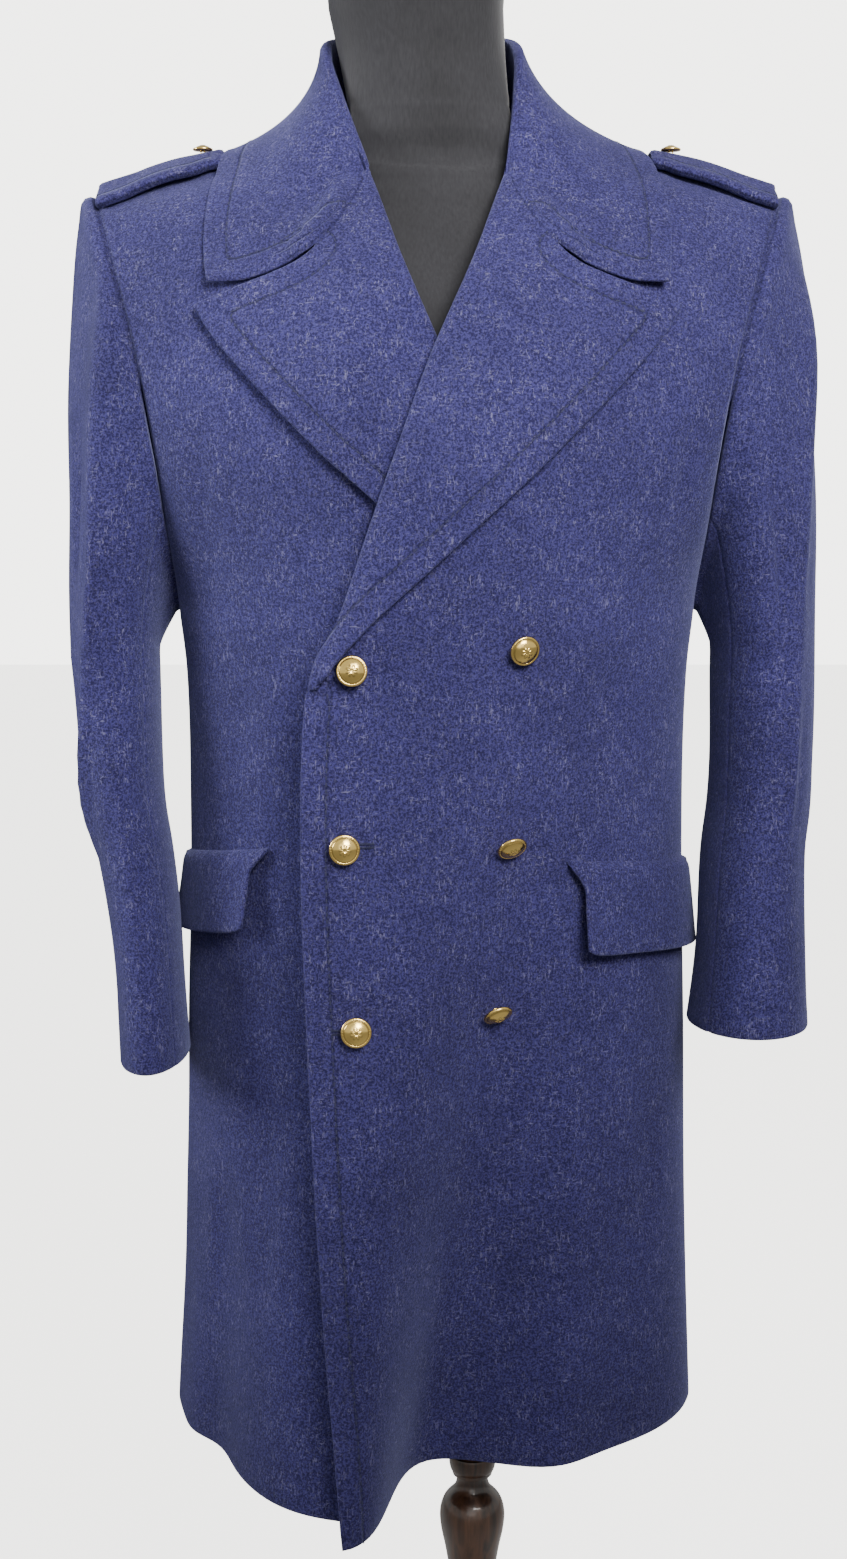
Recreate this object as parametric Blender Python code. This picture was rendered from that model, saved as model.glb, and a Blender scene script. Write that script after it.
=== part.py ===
import math

import bpy
import numpy as np
from mathutils import Quaternion, Vector
from mathutils.bvhtree import BVHTree

# Heights are above the floor, X runs to the viewer's right, the coat faces -Y.
CLOTH = 0.003
SEAM_GAP = 0.0003
LAY_GAP = 0.0010
COAT_X = -0.030
OVERLAP_CLEARANCE = 0.0055
SKIRT_TOP = 0.84
HEM_Z = 0.400
# Where rays start: in front of the coat, out beside it, and above it
RAY_START_Y = -1.0
RAY_START_RADIUS = 0.6
RAY_START_Z = 2.0
CHEST_Y = -0.15
# Upward share of the way out, where a surface's own normal may point either way
LAY_HINT_RISE = 0.02
FORM_HINT_RISE = 0.05

# Rows from hem to shoulder. The last row of each table is the shoulder seam.
# side x, y, z, side handle x, y, front edge or roll line x, y, z, its handle x, y
FRONT_ROWS = (
    (0.206, 0.000, 0.404, 0.004, -0.075, -0.066, -0.222, 0.384, 0.10, 0.020),
    (0.199, 0.000, 0.560, 0.004, -0.075, -0.081, -0.196, 0.555, 0.11, 0.008),
    (0.195, 0.000, 0.720, 0.003, -0.075, -0.090, -0.177, 0.720, 0.12, 0.000),
    (0.191, 0.000, 0.870, 0.002, -0.080, -0.095, -0.165, 0.870, 0.12, 0.000),
    (0.192, 0.000, 0.980, 0.003, -0.085, -0.090, -0.161, 0.990, 0.12, -0.006),
    (0.197, 0.000, 1.040, 0.004, -0.080, -0.069, -0.162, 1.037, 0.12, -0.008),
    (0.201, -0.045, 1.095, -0.004, -0.050, -0.048, -0.160, 1.098, 0.10, -0.008),
    (0.206, -0.070, 1.150, -0.012, -0.035, -0.029, -0.154, 1.152, 0.10, -0.006),
    (0.217, -0.076, 1.215, -0.025, -0.025, -0.005, -0.137, 1.218, 0.08, -0.004),
    (0.233, -0.058, 1.275, -0.035, -0.018, 0.024, -0.108, 1.284, 0.06, -0.004),
    (0.247, -0.030, 1.320, -0.050, -0.012, 0.045, -0.058, 1.358, 0.05, -0.002),
    (0.256, 0.002, 1.342, -0.060, 0.000, 0.073, 0.000, 1.403, 0.05, 0.000),
)
# side x, y, z, side handle x, y, centre back or neckline x, y, z, its handle x, y
BACK_ROWS = (
    (0.206, 0.000, 0.404, 0.004, 0.075, 0.000, 0.176, 0.404, 0.08, 0.000),
    (0.199, 0.000, 0.560, 0.004, 0.075, 0.000, 0.160, 0.560, 0.08, 0.000),
    (0.195, 0.000, 0.720, 0.003, 0.075, 0.000, 0.150, 0.720, 0.08, 0.000),
    (0.191, 0.000, 0.870, 0.002, 0.075, 0.000, 0.138, 0.870, 0.08, 0.000),
    (0.192, 0.000, 0.980, 0.003, 0.075, 0.000, 0.140, 0.985, 0.08, 0.000),
    (0.197, 0.000, 1.040, 0.004, 0.075, 0.000, 0.146, 1.055, 0.08, 0.000),
    (0.202, 0.050, 1.100, -0.002, 0.040, 0.000, 0.150, 1.130, 0.08, 0.002),
    (0.209, 0.072, 1.165, -0.010, 0.030, 0.000, 0.150, 1.205, 0.07, 0.003),
    (0.221, 0.070, 1.235, -0.020, 0.025, 0.000, 0.140, 1.285, 0.07, 0.003),
    (0.238, 0.048, 1.295, -0.030, 0.020, 0.000, 0.112, 1.378, 0.06, 0.003),
    (0.251, 0.022, 1.329, -0.045, 0.010, 0.043, 0.076, 1.414, 0.05, 0.004),
    (0.256, 0.002, 1.342, -0.060, 0.000, 0.073, 0.000, 1.403, 0.05, 0.000),
)
ARMPIT_ROW = 5
SKIRT_STEPS = (0.0, 0.5, 1.0, 1.5, 2.0, 2.5, 3.0, 3.5, 4.0, 4.5)
ARMHOLE_STEPS = (5.0, 5.5, 6.0, 6.6, 7.3, 8.0, 8.7, 9.4, 10.2, 11.0)
FRONT_COLUMNS = 16
BACK_COLUMNS = 9

# Soft folds of the skirt: across the front at the hem and at the fold's top, top height,
# half-width at the hem, depth at the hem (minus goes in)
LEFT_FOLDS = (
    (0.030, 0.055, 0.93, 0.046, -0.070),
    (0.112, 0.120, 0.80, 0.048, -0.020),
    (0.108, 0.120, 0.70, 0.024, 0.010),
    (-0.030, -0.020, 0.80, 0.026, 0.010),
)
RIGHT_FOLDS = (
    (-0.090, -0.095, 0.74, 0.052, 0.040),
    (-0.158, -0.154, 0.75, 0.018, -0.009),
    (-0.183, -0.180, 0.62, 0.014, 0.006),
)
BACK_FOLDS = (
    (0.075, 0.060, 0.80, 0.032, -0.026),
    (0.138, 0.120, 0.74, 0.026, 0.012),
    (-0.068, -0.050, 0.78, 0.030, -0.022),
    (-0.130, -0.115, 0.82, 0.030, 0.014),
)

FOLD_GROWTH = 1.4
FOLD_TOP_WIDTH = 0.55
FOLD_LIMIT = 1.1

# The under front and its lapel lie behind the outer front
V_FOOT_Z = 1.228
V_FADE = 0.075
CHEST_START_Z = 0.93
CHEST_RISE = 0.07
CHEST_CLEARANCE = 0.0090
SKIRT_RISE = 0.30
SKIRT_CLEARANCE = 0.003
EDGE_INSET = 0.002
FOLD_REACH = 0.012
FRONT_BLEND = 0.030
CHEST_BLEND = 0.045

# Lapel: outline on the chest, x and z, from the break up to the tip, and its top edge down the gorge
BREAK_STEP = 4.0
GORGE_STEP = 9.9
LAPEL_ROWS = 15
LAPEL_COLUMNS = 9
ROLL_OUTER = 0.0046
ROLL_START = 0.004
ROLL_GAP = 0.0012
LEAST_SQUARE = 0.4
ROLL_SOFTNESS = 0.35
LAPEL_GAP = 0.0048
EDGE_LIFT = 0.0012
LAPEL_EDGE = (
    (-0.080, 0.998),
    (-0.050, 1.031),
    (-0.010, 1.068),
    (0.029, 1.104),
    (0.070, 1.142),
    (0.113, 1.185),
    (0.151, 1.226),
    (0.169, 1.252),
)
LAPEL_TOP = (
    (0.048, 1.356),
    (0.062, 1.322),
    (0.080, 1.296),
    (0.099, 1.279),
    (0.134, 1.265),
    (0.169, 1.252),
)

# Collar sections from the gorge to the centre back: foot, roll, middle of the fall and edge, each x, y, z
COLLAR_SECTIONS = (
    (0.053, -0.052, 1.368, 0.054, -0.060, 1.373, 0.069, -0.100, 1.270, 0.162, -0.100, 1.273),
    (0.065, -0.026, 1.392, 0.065, -0.034, 1.416, 0.088, -0.062, 1.350, 0.166, -0.072, 1.306),
    (0.074, 0.002, 1.406, 0.073, -0.002, 1.452, 0.084, 0.000, 1.398, 0.152, 0.000, 1.386),
    (0.062, 0.056, 1.416, 0.060, 0.050, 1.472, 0.078, 0.074, 1.430, 0.118, 0.108, 1.378),
    (0.000, 0.090, 1.422, 0.000, 0.080, 1.482, 0.000, 0.108, 1.440, 0.000, 0.140, 1.362),
)
COLLAR_COLUMNS = 24
COLLAR_FALL_STEPS = 7
COLLAR_ROLL = 0.0055
COLLAR_GAP = 0.0018
COLLAR_ROLL_LEAST = 0.0035
COLLAR_ROLL_SHARE = 0.45
NECK_LEAN = -0.012
LEAN_START_Z = 1.34
LEAN_RISE = 0.11
LEAN_LIMIT = 1.3

# Sleeves: height, inner and outer x, front and back y of each section below the armpit
LEFT_SLEEVE = (
    (1.000, 0.212, 0.289, -0.072, 0.058),
    (0.900, 0.210, 0.287, -0.078, 0.046),
    (0.850, 0.205, 0.281, -0.086, 0.036),
    (0.785, 0.200, 0.281, -0.098, 0.022),
    (0.724, 0.193, 0.284, -0.108, 0.012),
)
RIGHT_SLEEVE = (
    (1.000, 0.214, 0.280, -0.072, 0.058),
    (0.900, 0.211, 0.271, -0.080, 0.044),
    (0.850, 0.204, 0.259, -0.090, 0.034),
    (0.785, 0.196, 0.247, -0.102, 0.022),
    (0.700, 0.190, 0.240, -0.118, 0.008),
)
HEAD_ROWS = 8
ARM_ROWS = 9
ARMHOLE_STEP_OUT = 0.0004
HEAD_REACH_LOW = 0.012
HEAD_REACH = 0.070
HEAD_FULLNESS = 0.020
HEAD_RISE = 0.020
HEAD_DROP = 0.130
UNDERARM_DROP = 0.030
SLEEVE_SEAM = 0.0006
UNDER_SLEEVE_FRONT = 2
UNDER_SLEEVE_BACK = 4

# Epaulettes, pocket flaps and buttons
EPAULETTE_INNER_X = 0.163
EPAULETTE_OUTER_X = 0.250
EPAULETTE_WIDTH = 0.048
EPAULETTE_THICK = 0.008
EPAULETTE_ARCH = 0.007
EPAULETTE_SHIFT_Y = 0.003
SHOULDER_Z = 1.35
FLAP_TOP_Z = 0.858
FLAP_BOTTOM_Z = 0.797
# Direction of each flap's front end from the middle of the coat, in degrees from its side
FLAP_FRONT_TURN = {"left": 49.0, "right": 37.0}
FLAP_LIFT = 0.010
# Front buttons: x, z and tilt about X of each
FRONT_BUTTONS = (
    ("left_top", 0.059, 1.015, 4.0),
    ("left_middle", 0.050, 0.876, 20.0),
    ("left_low", 0.040, 0.753, 24.0),
    ("right_top", -0.060, 1.0005, -8.0),
    ("right_middle", -0.066, 0.876, 3.0),
    ("right_low", -0.058, 0.747, 3.0),
)
FRONT_BUTTON_RADIUS = 0.011
SMALL_BUTTON_RADIUS = 0.0075

CUFF_BUTTONS = ((14, 0.2), (15, 0.0))
CUFF_COLUMN = 11
EPAULETTE_COLUMNS = 7
EPAULETTE_ROWS = 4
EPAULETTE_BODY = 0.0065
EPAULETTE_END = 0.45
EPAULETTE_BUTTON_ROW = 1
FLAP_ROWS = 3
FLAP_GAP = 0.0018
FLAP_COLUMNS = 8
FLAP_BACK_TURN = 0.03
FLAP_CORNER = 0.012
FLAP_CORNER_COLUMNS = 1.5
FLAP_STAND_GROWTH = 1.3
FLAP_SIDE_LIFT = 0.003
BREAK_Z = 0.985
LEAST_AGREEMENT = 0.0
# Button profile, radius and height, from the dome's top to the shank's foot
BUTTON_PROFILE = (
    (0.0000, 0.0106),
    (0.0045, 0.0102),
    (0.0085, 0.0088),
    (0.0106, 0.0070),
    (0.0110, 0.0060),
    (0.0100, 0.0048),
    (0.0028, 0.0044),
    (0.0025, 0.0000),
    (0.0000, 0.0000),
)
RIM_HEIGHT = 0.0048
SHANK_GAP = 0.0007
BUTTON_SEGMENTS = 14
SMALL_BUTTON_SEGMENTS = 10

# Dress form: height, half-width, front y and back y of each section
FORM_SECTIONS = (
    (0.6403, 0.138, -0.090, 0.094),
    (0.652, 0.150, -0.100, 0.105),
    (0.700, 0.158, -0.104, 0.112),
    (0.780, 0.160, -0.104, 0.110),
    (0.880, 0.150, -0.102, 0.100),
    (0.980, 0.156, -0.092, 0.108),
    (1.080, 0.170, -0.098, 0.116),
    (1.160, 0.180, -0.104, 0.122),
    (1.230, 0.190, -0.098, 0.118),
    (1.290, 0.197, -0.074, 0.098),
    (1.330, 0.198, -0.050, 0.074),
    (1.352, 0.192, -0.034, 0.058),
    (1.366, 0.142, -0.034, 0.054),
    (1.378, 0.082, -0.030, 0.046),
    (1.390, 0.062, -0.038, 0.050),
    (1.408, 0.0600, -0.050, 0.058),
    (1.440, 0.0615, -0.057, 0.060),
    (1.490, 0.0655, -0.063, 0.058),
    (1.514, 0.0645, -0.062, 0.057),
    (1.520, 0.0580, -0.055, 0.050),
)
FORM_SEGMENTS = 28
FORM_SQUARENESS = 2.25
FORM_BOTTOM_Z = 0.6403
FORM_COLLAR_Z = 1.385
FORM_GAP = 0.0007
COLUMN_SEGMENTS = 24
BASE_SEGMENTS = 48
COLUMN_PROFILE = (
    (0.0000, 0.640),
    (0.0150, 0.640),
    (0.0150, 0.352),
    (0.0185, 0.346),
    (0.0190, 0.340),
    (0.0175, 0.333),
    (0.0130, 0.327),
    (0.0145, 0.318),
    (0.0230, 0.308),
    (0.0265, 0.296),
    (0.0255, 0.282),
    (0.0215, 0.262),
    (0.0175, 0.232),
    (0.0165, 0.180),
    (0.0180, 0.120),
    (0.0240, 0.070),
    (0.0270, 0.0403),
    (0.0000, 0.0403),
)
BASE_PROFILE = (
    (0.0000, 0.040),
    (0.0330, 0.040),
    (0.0480, 0.034),
    (0.0900, 0.028),
    (0.1700, 0.020),
    (0.1830, 0.016),
    (0.1860, 0.010),
    (0.1840, 0.000),
    (0.0000, 0.000),
)


def clear_scene():
    """Empties the scene."""
    for old in list(bpy.data.objects):
        bpy.data.objects.remove(old, do_unlink=True)


def material(name, colour, roughness, metallic=0.0):
    """A plain finish in one colour."""
    made = bpy.data.materials.new(name)
    made.use_nodes = True
    shader = made.node_tree.nodes["Principled BSDF"]
    shader.inputs["Base Color"].default_value = (*colour, 1.0)
    shader.inputs["Roughness"].default_value = roughness
    shader.inputs["Metallic"].default_value = metallic
    return made


def spline(rows, at):
    """Values of a table between its rows, smooth through every row."""
    rows = np.asarray(rows, float)
    at = np.asarray(at, float)
    last = len(rows) - 1
    low = np.clip(np.floor(at).astype(int), 0, last - 1)
    t = (at - low)[:, None]
    p1 = rows[low]
    p2 = rows[low + 1]
    before = rows[np.maximum(low - 1, 0)]
    after = rows[np.minimum(low + 2, last)]
    m1 = np.where((low > 0)[:, None], (p2 - before) / 2, p2 - p1)
    m2 = np.where((low < last - 1)[:, None], (after - p1) / 2, p2 - p1)
    h1 = 2 * t**3 - 3 * t**2 + 1
    h2 = t**3 - 2 * t**2 + t
    h3 = 3 * t**2 - 2 * t**3
    h4 = t**3 - t**2
    return h1 * p1 + h2 * m1 + h3 * p2 + h4 * m2


def unit(vectors):
    """Vectors at length one."""
    return vectors / np.maximum(np.linalg.norm(vectors, axis=-1, keepdims=True), 1e-12)


def smooth_step(value):
    """Eases from 0 to 1."""
    value = np.clip(value, 0.0, 1.0)
    return value * value * (3 - 2 * value)


def panel_grid(table, steps, columns):
    """Points of a body panel: each row runs from the side or armhole to the panel's inner edge."""
    rows = spline(table, steps)
    if table is BACK_ROWS:
        rows[:, 5] = np.maximum(rows[:, 5], 0.0)
    rows[np.asarray(steps) <= ARMPIT_ROW, 1] = 0.0
    side = rows[:, 0:3]
    inner = rows[:, 5:8]
    rise = (inner[:, 2] - side[:, 2]) / 3
    near = side + np.column_stack((rows[:, 3], rows[:, 4], rise))
    far = inner + np.column_stack((rows[:, 8], rows[:, 9], -rise))
    t = np.linspace(0.0, 1.0, columns + 1)[None, :, None]
    a, b, c, d = (points[:, None, :] for points in (side, near, far, inner))
    return (1 - t) ** 3 * a + 3 * (1 - t) ** 2 * t * b + 3 * (1 - t) * t**2 * c + t**3 * d


def grid_normals(grid):
    """The normal at each point of a grid."""
    across = np.gradient(grid, axis=1)
    up = np.gradient(grid, axis=0)
    return unit(np.cross(across, up))


def mirrored(grid):
    """The same panel on the coat's other side."""
    return grid * np.array([-1.0, 1.0, 1.0])


def fold_skirt(grid, folds, outward):
    """Moves the skirt of a panel in or out along soft folds that grow toward the hem."""
    moved = grid.copy()
    for at_hem, at_top, top, width, depth in folds:
        down = np.clip((top - grid[..., 2]) / (top - HEM_Z), 0.0, FOLD_LIMIT)
        centre = at_top + (at_hem - at_top) * down
        spread = width * (FOLD_TOP_WIDTH + (1 - FOLD_TOP_WIDTH) * down)
        bump = np.exp(-(((grid[..., 0] - centre) / spread) ** 2))
        moved += outward * (depth * down**FOLD_GROWTH * bump)[..., None]
    return moved


def flat_outward(grid, sign):
    """Level directions out of a panel."""
    normals = grid_normals(grid) * sign
    normals[..., 2] = 0.0
    return unit(normals)


def trim(grid, edges, amount):
    """Draws the named edges of a grid in along the rows or columns."""
    cut = grid.copy()
    pairs = {"bottom": (0, 1), "top": (-1, -2)}
    for edge in edges:
        if edge in pairs:
            end, inside = pairs[edge]
            step = grid[inside] - grid[end]
            cut[end] = cut[end] + unit(step) * amount
        else:
            end, inside = {"side": (0, 1), "inner": (-1, -2)}[edge]
            step = grid[:, inside] - grid[:, end]
            cut[:, end] = cut[:, end] + unit(step) * amount
    return cut


def wall(name, outer, normals, look, parent, thickness=CLOTH, reverse=False, on=None):
    """A cloth wall: its outer face is the grid, its inner face lies the thickness inside."""
    rows, columns = outer.shape[:2]
    inner = outer - normals * thickness
    if on:
        inner = laid_on(on, inner, LAY_GAP)
    points = np.concatenate((outer.reshape(-1, 3), inner.reshape(-1, 3)))
    index = np.arange(rows * columns).reshape(rows, columns)
    back = index + rows * columns
    faces = []
    for i in range(rows - 1):
        for j in range(columns - 1):
            faces.append((index[i, j], index[i, j + 1], index[i + 1, j + 1], index[i + 1, j]))
            faces.append((back[i, j], back[i + 1, j], back[i + 1, j + 1], back[i, j + 1]))
    rim = [(0, j) for j in range(columns)]
    rim += [(i, columns - 1) for i in range(1, rows)]
    rim += [(rows - 1, j) for j in range(columns - 2, -1, -1)]
    rim += [(i, 0) for i in range(rows - 2, 0, -1)]
    for here, there in zip(rim, rim[1:] + rim[:1]):
        faces.append((index[here], back[here], back[there], index[there]))
    if reverse:
        faces = [face[::-1] for face in faces]
    return solid(name, points, faces, look, parent)


def solid(name, points, faces, look, parent):
    """One named mesh object."""
    mesh = bpy.data.meshes.new(name)
    mesh.from_pydata([tuple(map(float, p)) for p in points], [], [tuple(map(int, f)) for f in faces])
    mesh.materials.append(look)
    mesh.polygons.foreach_set("use_smooth", [True] * len(mesh.polygons))
    mesh.update()
    made = bpy.data.objects.new(name, mesh)
    bpy.context.scene.collection.objects.link(made)
    made.parent = parent
    return made


def tree_of(grids):
    """One tree of triangles from several grids, to lay other pieces on."""
    points = []
    faces = []
    for grid in grids:
        rows, columns = grid.shape[:2]
        start = len(points)
        points += [Vector(p) for p in grid.reshape(-1, 3)]
        for i in range(rows - 1):
            for j in range(columns - 1):
                a = start + i * columns + j
                faces.append((a, a + 1, a + columns))
                faces.append((a + 1, a + columns + 1, a + columns))
    return BVHTree.FromPolygons(points, faces)


def underneath(grid, over):
    """Moves the inner part of the under front back behind the outer front and its own lapel."""
    tree = tree_of([over])
    edge_z = over[:, -1, 2]
    edge_x = over[:, -1, 0]
    moved = grid.copy()
    for point in moved.reshape(-1, 3):
        if point[2] > V_FOOT_Z + V_FADE:
            continue
        edge = np.interp(min(point[2], V_FOOT_Z), edge_z, edge_x)
        in_chest = smooth_step((point[2] - CHEST_START_Z) / CHEST_RISE)
        weight = smooth_step(1 + (point[0] - edge) / (FRONT_BLEND + CHEST_BLEND * in_chest))
        deepest = -math.inf
        for aside in (-FOLD_REACH, 0.0, FOLD_REACH):
            x = max(point[0] + aside, edge + EDGE_INSET)
            start = Vector((x, RAY_START_Y, min(max(point[2], HEM_Z), V_FOOT_Z)))
            hit = tree.ray_cast(start, Vector((0, 1, 0)))[0]
            if hit is None:
                hit = tree.find_nearest(Vector(point))[0]
            deepest = max(deepest, hit.y)
        in_skirt = smooth_step((SKIRT_TOP - point[2]) / SKIRT_RISE)
        clearance = OVERLAP_CLEARANCE + SKIRT_CLEARANCE * in_skirt
        back = deepest + clearance + CHEST_CLEARANCE * in_chest
        weight *= smooth_step((V_FOOT_Z + V_FADE - point[2]) / V_FADE)
        point[1] += weight * max(0.0, back - point[1])
    return moved


def face_out(normal, hint):
    """The normal turned to the hint's side."""
    return normal if normal.dot(hint) > 0 else -normal


def laid_on(tree, points, height):
    """Lifts points that lie lower than the height over the cloth below them."""
    lifted = points.copy()
    for point in lifted.reshape(-1, 3):
        foot, normal, _, _ = tree.find_nearest(Vector(point))
        hint = Vector((foot.x, foot.y, LAY_HINT_RISE))
        normal = face_out(normal, hint)
        over = (Vector(point) - foot).dot(normal)
        if over < height:
            point += np.array(normal) * (height - over)
    return lifted


def coons(bottom, top, left, right):
    """A patch between four edges, rows from bottom to top and columns from left to right."""
    rows = len(left)
    columns = len(bottom)
    v = np.linspace(0, 1, rows)[:, None, None]
    s = np.linspace(0, 1, columns)[None, :, None]
    ruled_up = (1 - v) * bottom[None] + v * top[None]
    ruled_across = (1 - s) * left[:, None] + s * right[:, None]
    corners = (1 - v) * ((1 - s) * bottom[0] + s * bottom[-1]) + v * ((1 - s) * top[0] + s * top[-1])
    return ruled_up + ruled_across - corners


def lapel_grid(front, facing, steps, side):
    """Outer face of a lapel: it rolls over the front's edge and lies back on the chest."""
    tree = tree_of([front])
    at = np.linspace(BREAK_STEP, GORGE_STEP, LAPEL_ROWS + 1)
    roll = np.column_stack([np.interp(at, steps, front[:, -1, k]) for k in range(3)])
    lift = unit(np.column_stack([np.interp(at, steps, facing[:, -1, k]) for k in range(3)]))
    along = unit(np.gradient(roll, axis=0))
    out = unit(np.cross(along, lift)) * side
    out *= np.sign(-out[:, :1] * side)
    crown = roll - out * ROLL_OUTER
    edge = spline(LAPEL_EDGE, np.linspace(0, len(LAPEL_EDGE) - 1, LAPEL_ROWS + 1)) * (side, 1)
    gorge = spline(LAPEL_TOP, np.linspace(0, len(LAPEL_TOP) - 1, LAPEL_COLUMNS + 1)) * (side, 1)
    flat_crown = crown[:, (0, 2)]
    gorge[0] = flat_crown[-1]
    bottom = np.linspace(flat_crown[0], edge[0], LAPEL_COLUMNS + 1)
    patch = coons(bottom, gorge, flat_crown, edge)
    rolled = []
    for i in range(LAPEL_ROWS + 1):
        centre = crown[i] + lift[i] * (ROLL_OUTER - CLOTH)
        row = [crown[i] - out[i] * ROLL_START - lift[i] * CLOTH]
        for angle in (-90, -45, 0, 45, 90):
            turn = math.radians(angle)
            row.append(centre + ROLL_OUTER * (math.cos(turn) * out[i] + math.sin(turn) * lift[i]))
        rolled.append(row)
    fall = []
    for row in patch[:, 1:]:
        laid = []
        for j, (x, z) in enumerate(row):
            s = (j + 1) / LAPEL_COLUMNS
            hit, normal, _, _ = tree.ray_cast(Vector((x, RAY_START_Y, z)), Vector((0, 1, 0)))
            if hit is None:
                hit, normal, _, _ = tree.find_nearest(Vector((x, CHEST_Y, z)))
            normal = np.array(face_out(normal, Vector((0, -1, 0))))
            drop = smooth_step(s / ROLL_SOFTNESS)
            height = (2 * ROLL_OUTER - CLOTH) * (1 - drop) + (CLOTH + LAPEL_GAP) * drop + EDGE_LIFT * s**3
            laid.append(np.array(hit) + normal * height)
        fall.append(laid)
    return np.concatenate((np.array(rolled), np.array(fall)), axis=1)


def collar_grid(tree):
    """Outer face of the collar: the stand faces the neck, rolls over and falls on the shoulders."""
    half = np.array(COLLAR_SECTIONS)
    whole = np.concatenate((half, half[-2::-1] * np.array([-1, 1, 1] * 4)))
    sections = spline(whole, np.linspace(0, len(whole) - 1, COLLAR_COLUMNS + 1)).reshape(-1, 4, 3)
    sections[..., 0] += neck_lean(sections[..., 2])
    grid = []
    for foot, roll, middle, edge in sections:
        up = roll - foot
        rise = unit(up)
        wide = middle - roll
        wide = unit(wide - rise * wide.dot(rise))
        reach = min(COLLAR_ROLL, COLLAR_ROLL_SHARE * np.linalg.norm(up) + COLLAR_ROLL_LEAST)
        centre = roll - rise * reach + wide * reach
        row = [foot, foot + (centre - wide * reach - foot) * 0.5]
        for angle in (180, 135, 90, 45, 0):
            turn = math.radians(angle)
            row.append(centre + reach * (math.cos(turn) * wide + math.sin(turn) * rise))
        start = row[-1]
        for t in np.linspace(0, 1, COLLAR_FALL_STEPS + 1)[1:]:
            row.append((1 - t) ** 2 * start + 2 * t * (1 - t) * middle + t**2 * edge)
        grid.append(row)
    grid = np.array(grid)
    first_fall = grid.shape[1] - COLLAR_FALL_STEPS
    grid[:, first_fall:] = laid_on(tree, grid[:, first_fall:], CLOTH + COLLAR_GAP)
    return grid


def neck_lean(height):
    """How far the neck leans sideways at a height."""
    return NECK_LEAN * np.clip((height - LEAN_START_Z) / LEAN_RISE, 0.0, LEAN_LIMIT)


def sleeve_grid(ring, sections, side):
    """Outer face of a sleeve, rows from the armhole to the cuff, columns around from the armpit."""
    count = len(ring)
    turn = np.arange(count) / count
    out = (1 - np.cos(2 * np.pi * turn)) / 2
    fore = np.where(turn < 0.5, -1.0, 1.0)
    side_way = np.sin(np.pi * out)
    start = ring + np.column_stack((np.full(count, side * ARMHOLE_STEP_OUT), np.zeros(count), np.zeros(count)))
    leave = np.column_stack(
        (
            side * (HEAD_REACH_LOW + HEAD_REACH * out),
            HEAD_FULLNESS * fore * side_way,
            HEAD_RISE * out - UNDERARM_DROP * (1 - out) - HEAD_DROP * side_way,
        )
    )
    angle = math.pi + 2 * np.pi * turn

    def section(row):
        z, x_in, x_out, y_front, y_back = row
        x = side * ((x_in + x_out) / 2 + (x_out - x_in) / 2 * np.cos(angle))
        y = (y_front + y_back) / 2 + (y_back - y_front) / 2 * np.sin(angle)
        return np.column_stack((x, y, np.full(count, z)))

    first = section(sections[0])
    arrive = np.zeros((count, 3))
    arrive[:, 2] = first[:, 2] - start[:, 2]
    rows = []
    for t in np.linspace(0, 1, HEAD_ROWS + 1)[:-1]:
        h1 = 2 * t**3 - 3 * t**2 + 1
        h2 = t**3 - 2 * t**2 + t
        h3 = 3 * t**2 - 2 * t**3
        h4 = t**3 - t**2
        rows.append(h1 * start + h2 * leave + h3 * first + h4 * arrive)
    for row in spline(sections, np.linspace(0, len(sections) - 1, ARM_ROWS + 1)):
        rows.append(section(row))
    return np.array(rows)


def ring_normals(grid, sign):
    """The normals of a grid whose columns run all the way round."""
    closed = np.concatenate((grid[:, -1:], grid, grid[:, :1]), axis=1)
    across = (closed[:, 2:] - closed[:, :-2]) / 2
    down = np.gradient(grid, axis=0)
    return unit(np.cross(across, down)) * sign


def share(first, second):
    """Gives two edges that meet at a seam the same normals, so that their ends are parallel."""
    at = np.linspace(0, 1, len(first))
    there = np.linspace(0, 1, len(second))
    one = np.column_stack([np.interp(at, there, second[:, k]) for k in range(3)])
    two = np.column_stack([np.interp(there, at, first[:, k]) for k in range(3)])
    agree = (first * unit(one)).sum(axis=1) > LEAST_AGREEMENT
    first_mean = unit(first + one)
    second_mean = unit(second + two)
    agree_there = (second * unit(two)).sum(axis=1) > LEAST_AGREEMENT
    first[agree] = first_mean[agree]
    second[agree_there] = second_mean[agree_there]


def clear_of_roll(grid, normals):
    """Ends the rows above the break short of the roll line, where the lapel takes over."""
    cut = grid.copy()
    way = unit(grid[:, -2] - grid[:, -1])
    along = unit(np.gradient(grid[:, -1], axis=0))
    square = np.abs((np.cross(along, normals[:, -1]) * way).sum(axis=1))
    lapel_rows = grid[:, -1, 2] > BREAK_Z
    amount = (ROLL_OUTER + ROLL_START + ROLL_GAP) / np.maximum(square, LEAST_SQUARE)
    cut[lapel_rows, -1] += (way * amount[:, None])[lapel_rows]
    return cut


def lathe(name, profile, segments, look, parent=None):
    """A closed turned body. The profile starts and ends on the axis and runs from top to bottom."""
    points = [(0.0, 0.0, profile[0][1])]
    for radius, z in profile[1:-1]:
        for k in range(segments):
            turn = 2 * math.pi * k / segments
            points.append((radius * math.cos(turn), radius * math.sin(turn), z))
    points.append((0.0, 0.0, profile[-1][1]))
    last = len(points) - 1
    faces = []
    for k in range(segments):
        faces.append((0, 1 + k, 1 + (k + 1) % segments))
    rings = len(profile) - 2
    for ring in range(rings - 1):
        a = 1 + ring * segments
        b = a + segments
        for k in range(segments):
            n = (k + 1) % segments
            faces.append((a + k, b + k, b + n, a + n))
    a = 1 + (rings - 1) * segments
    for k in range(segments):
        faces.append((a + k, last, a + (k + 1) % segments))
    return solid(name, points, faces, look, parent)


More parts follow.
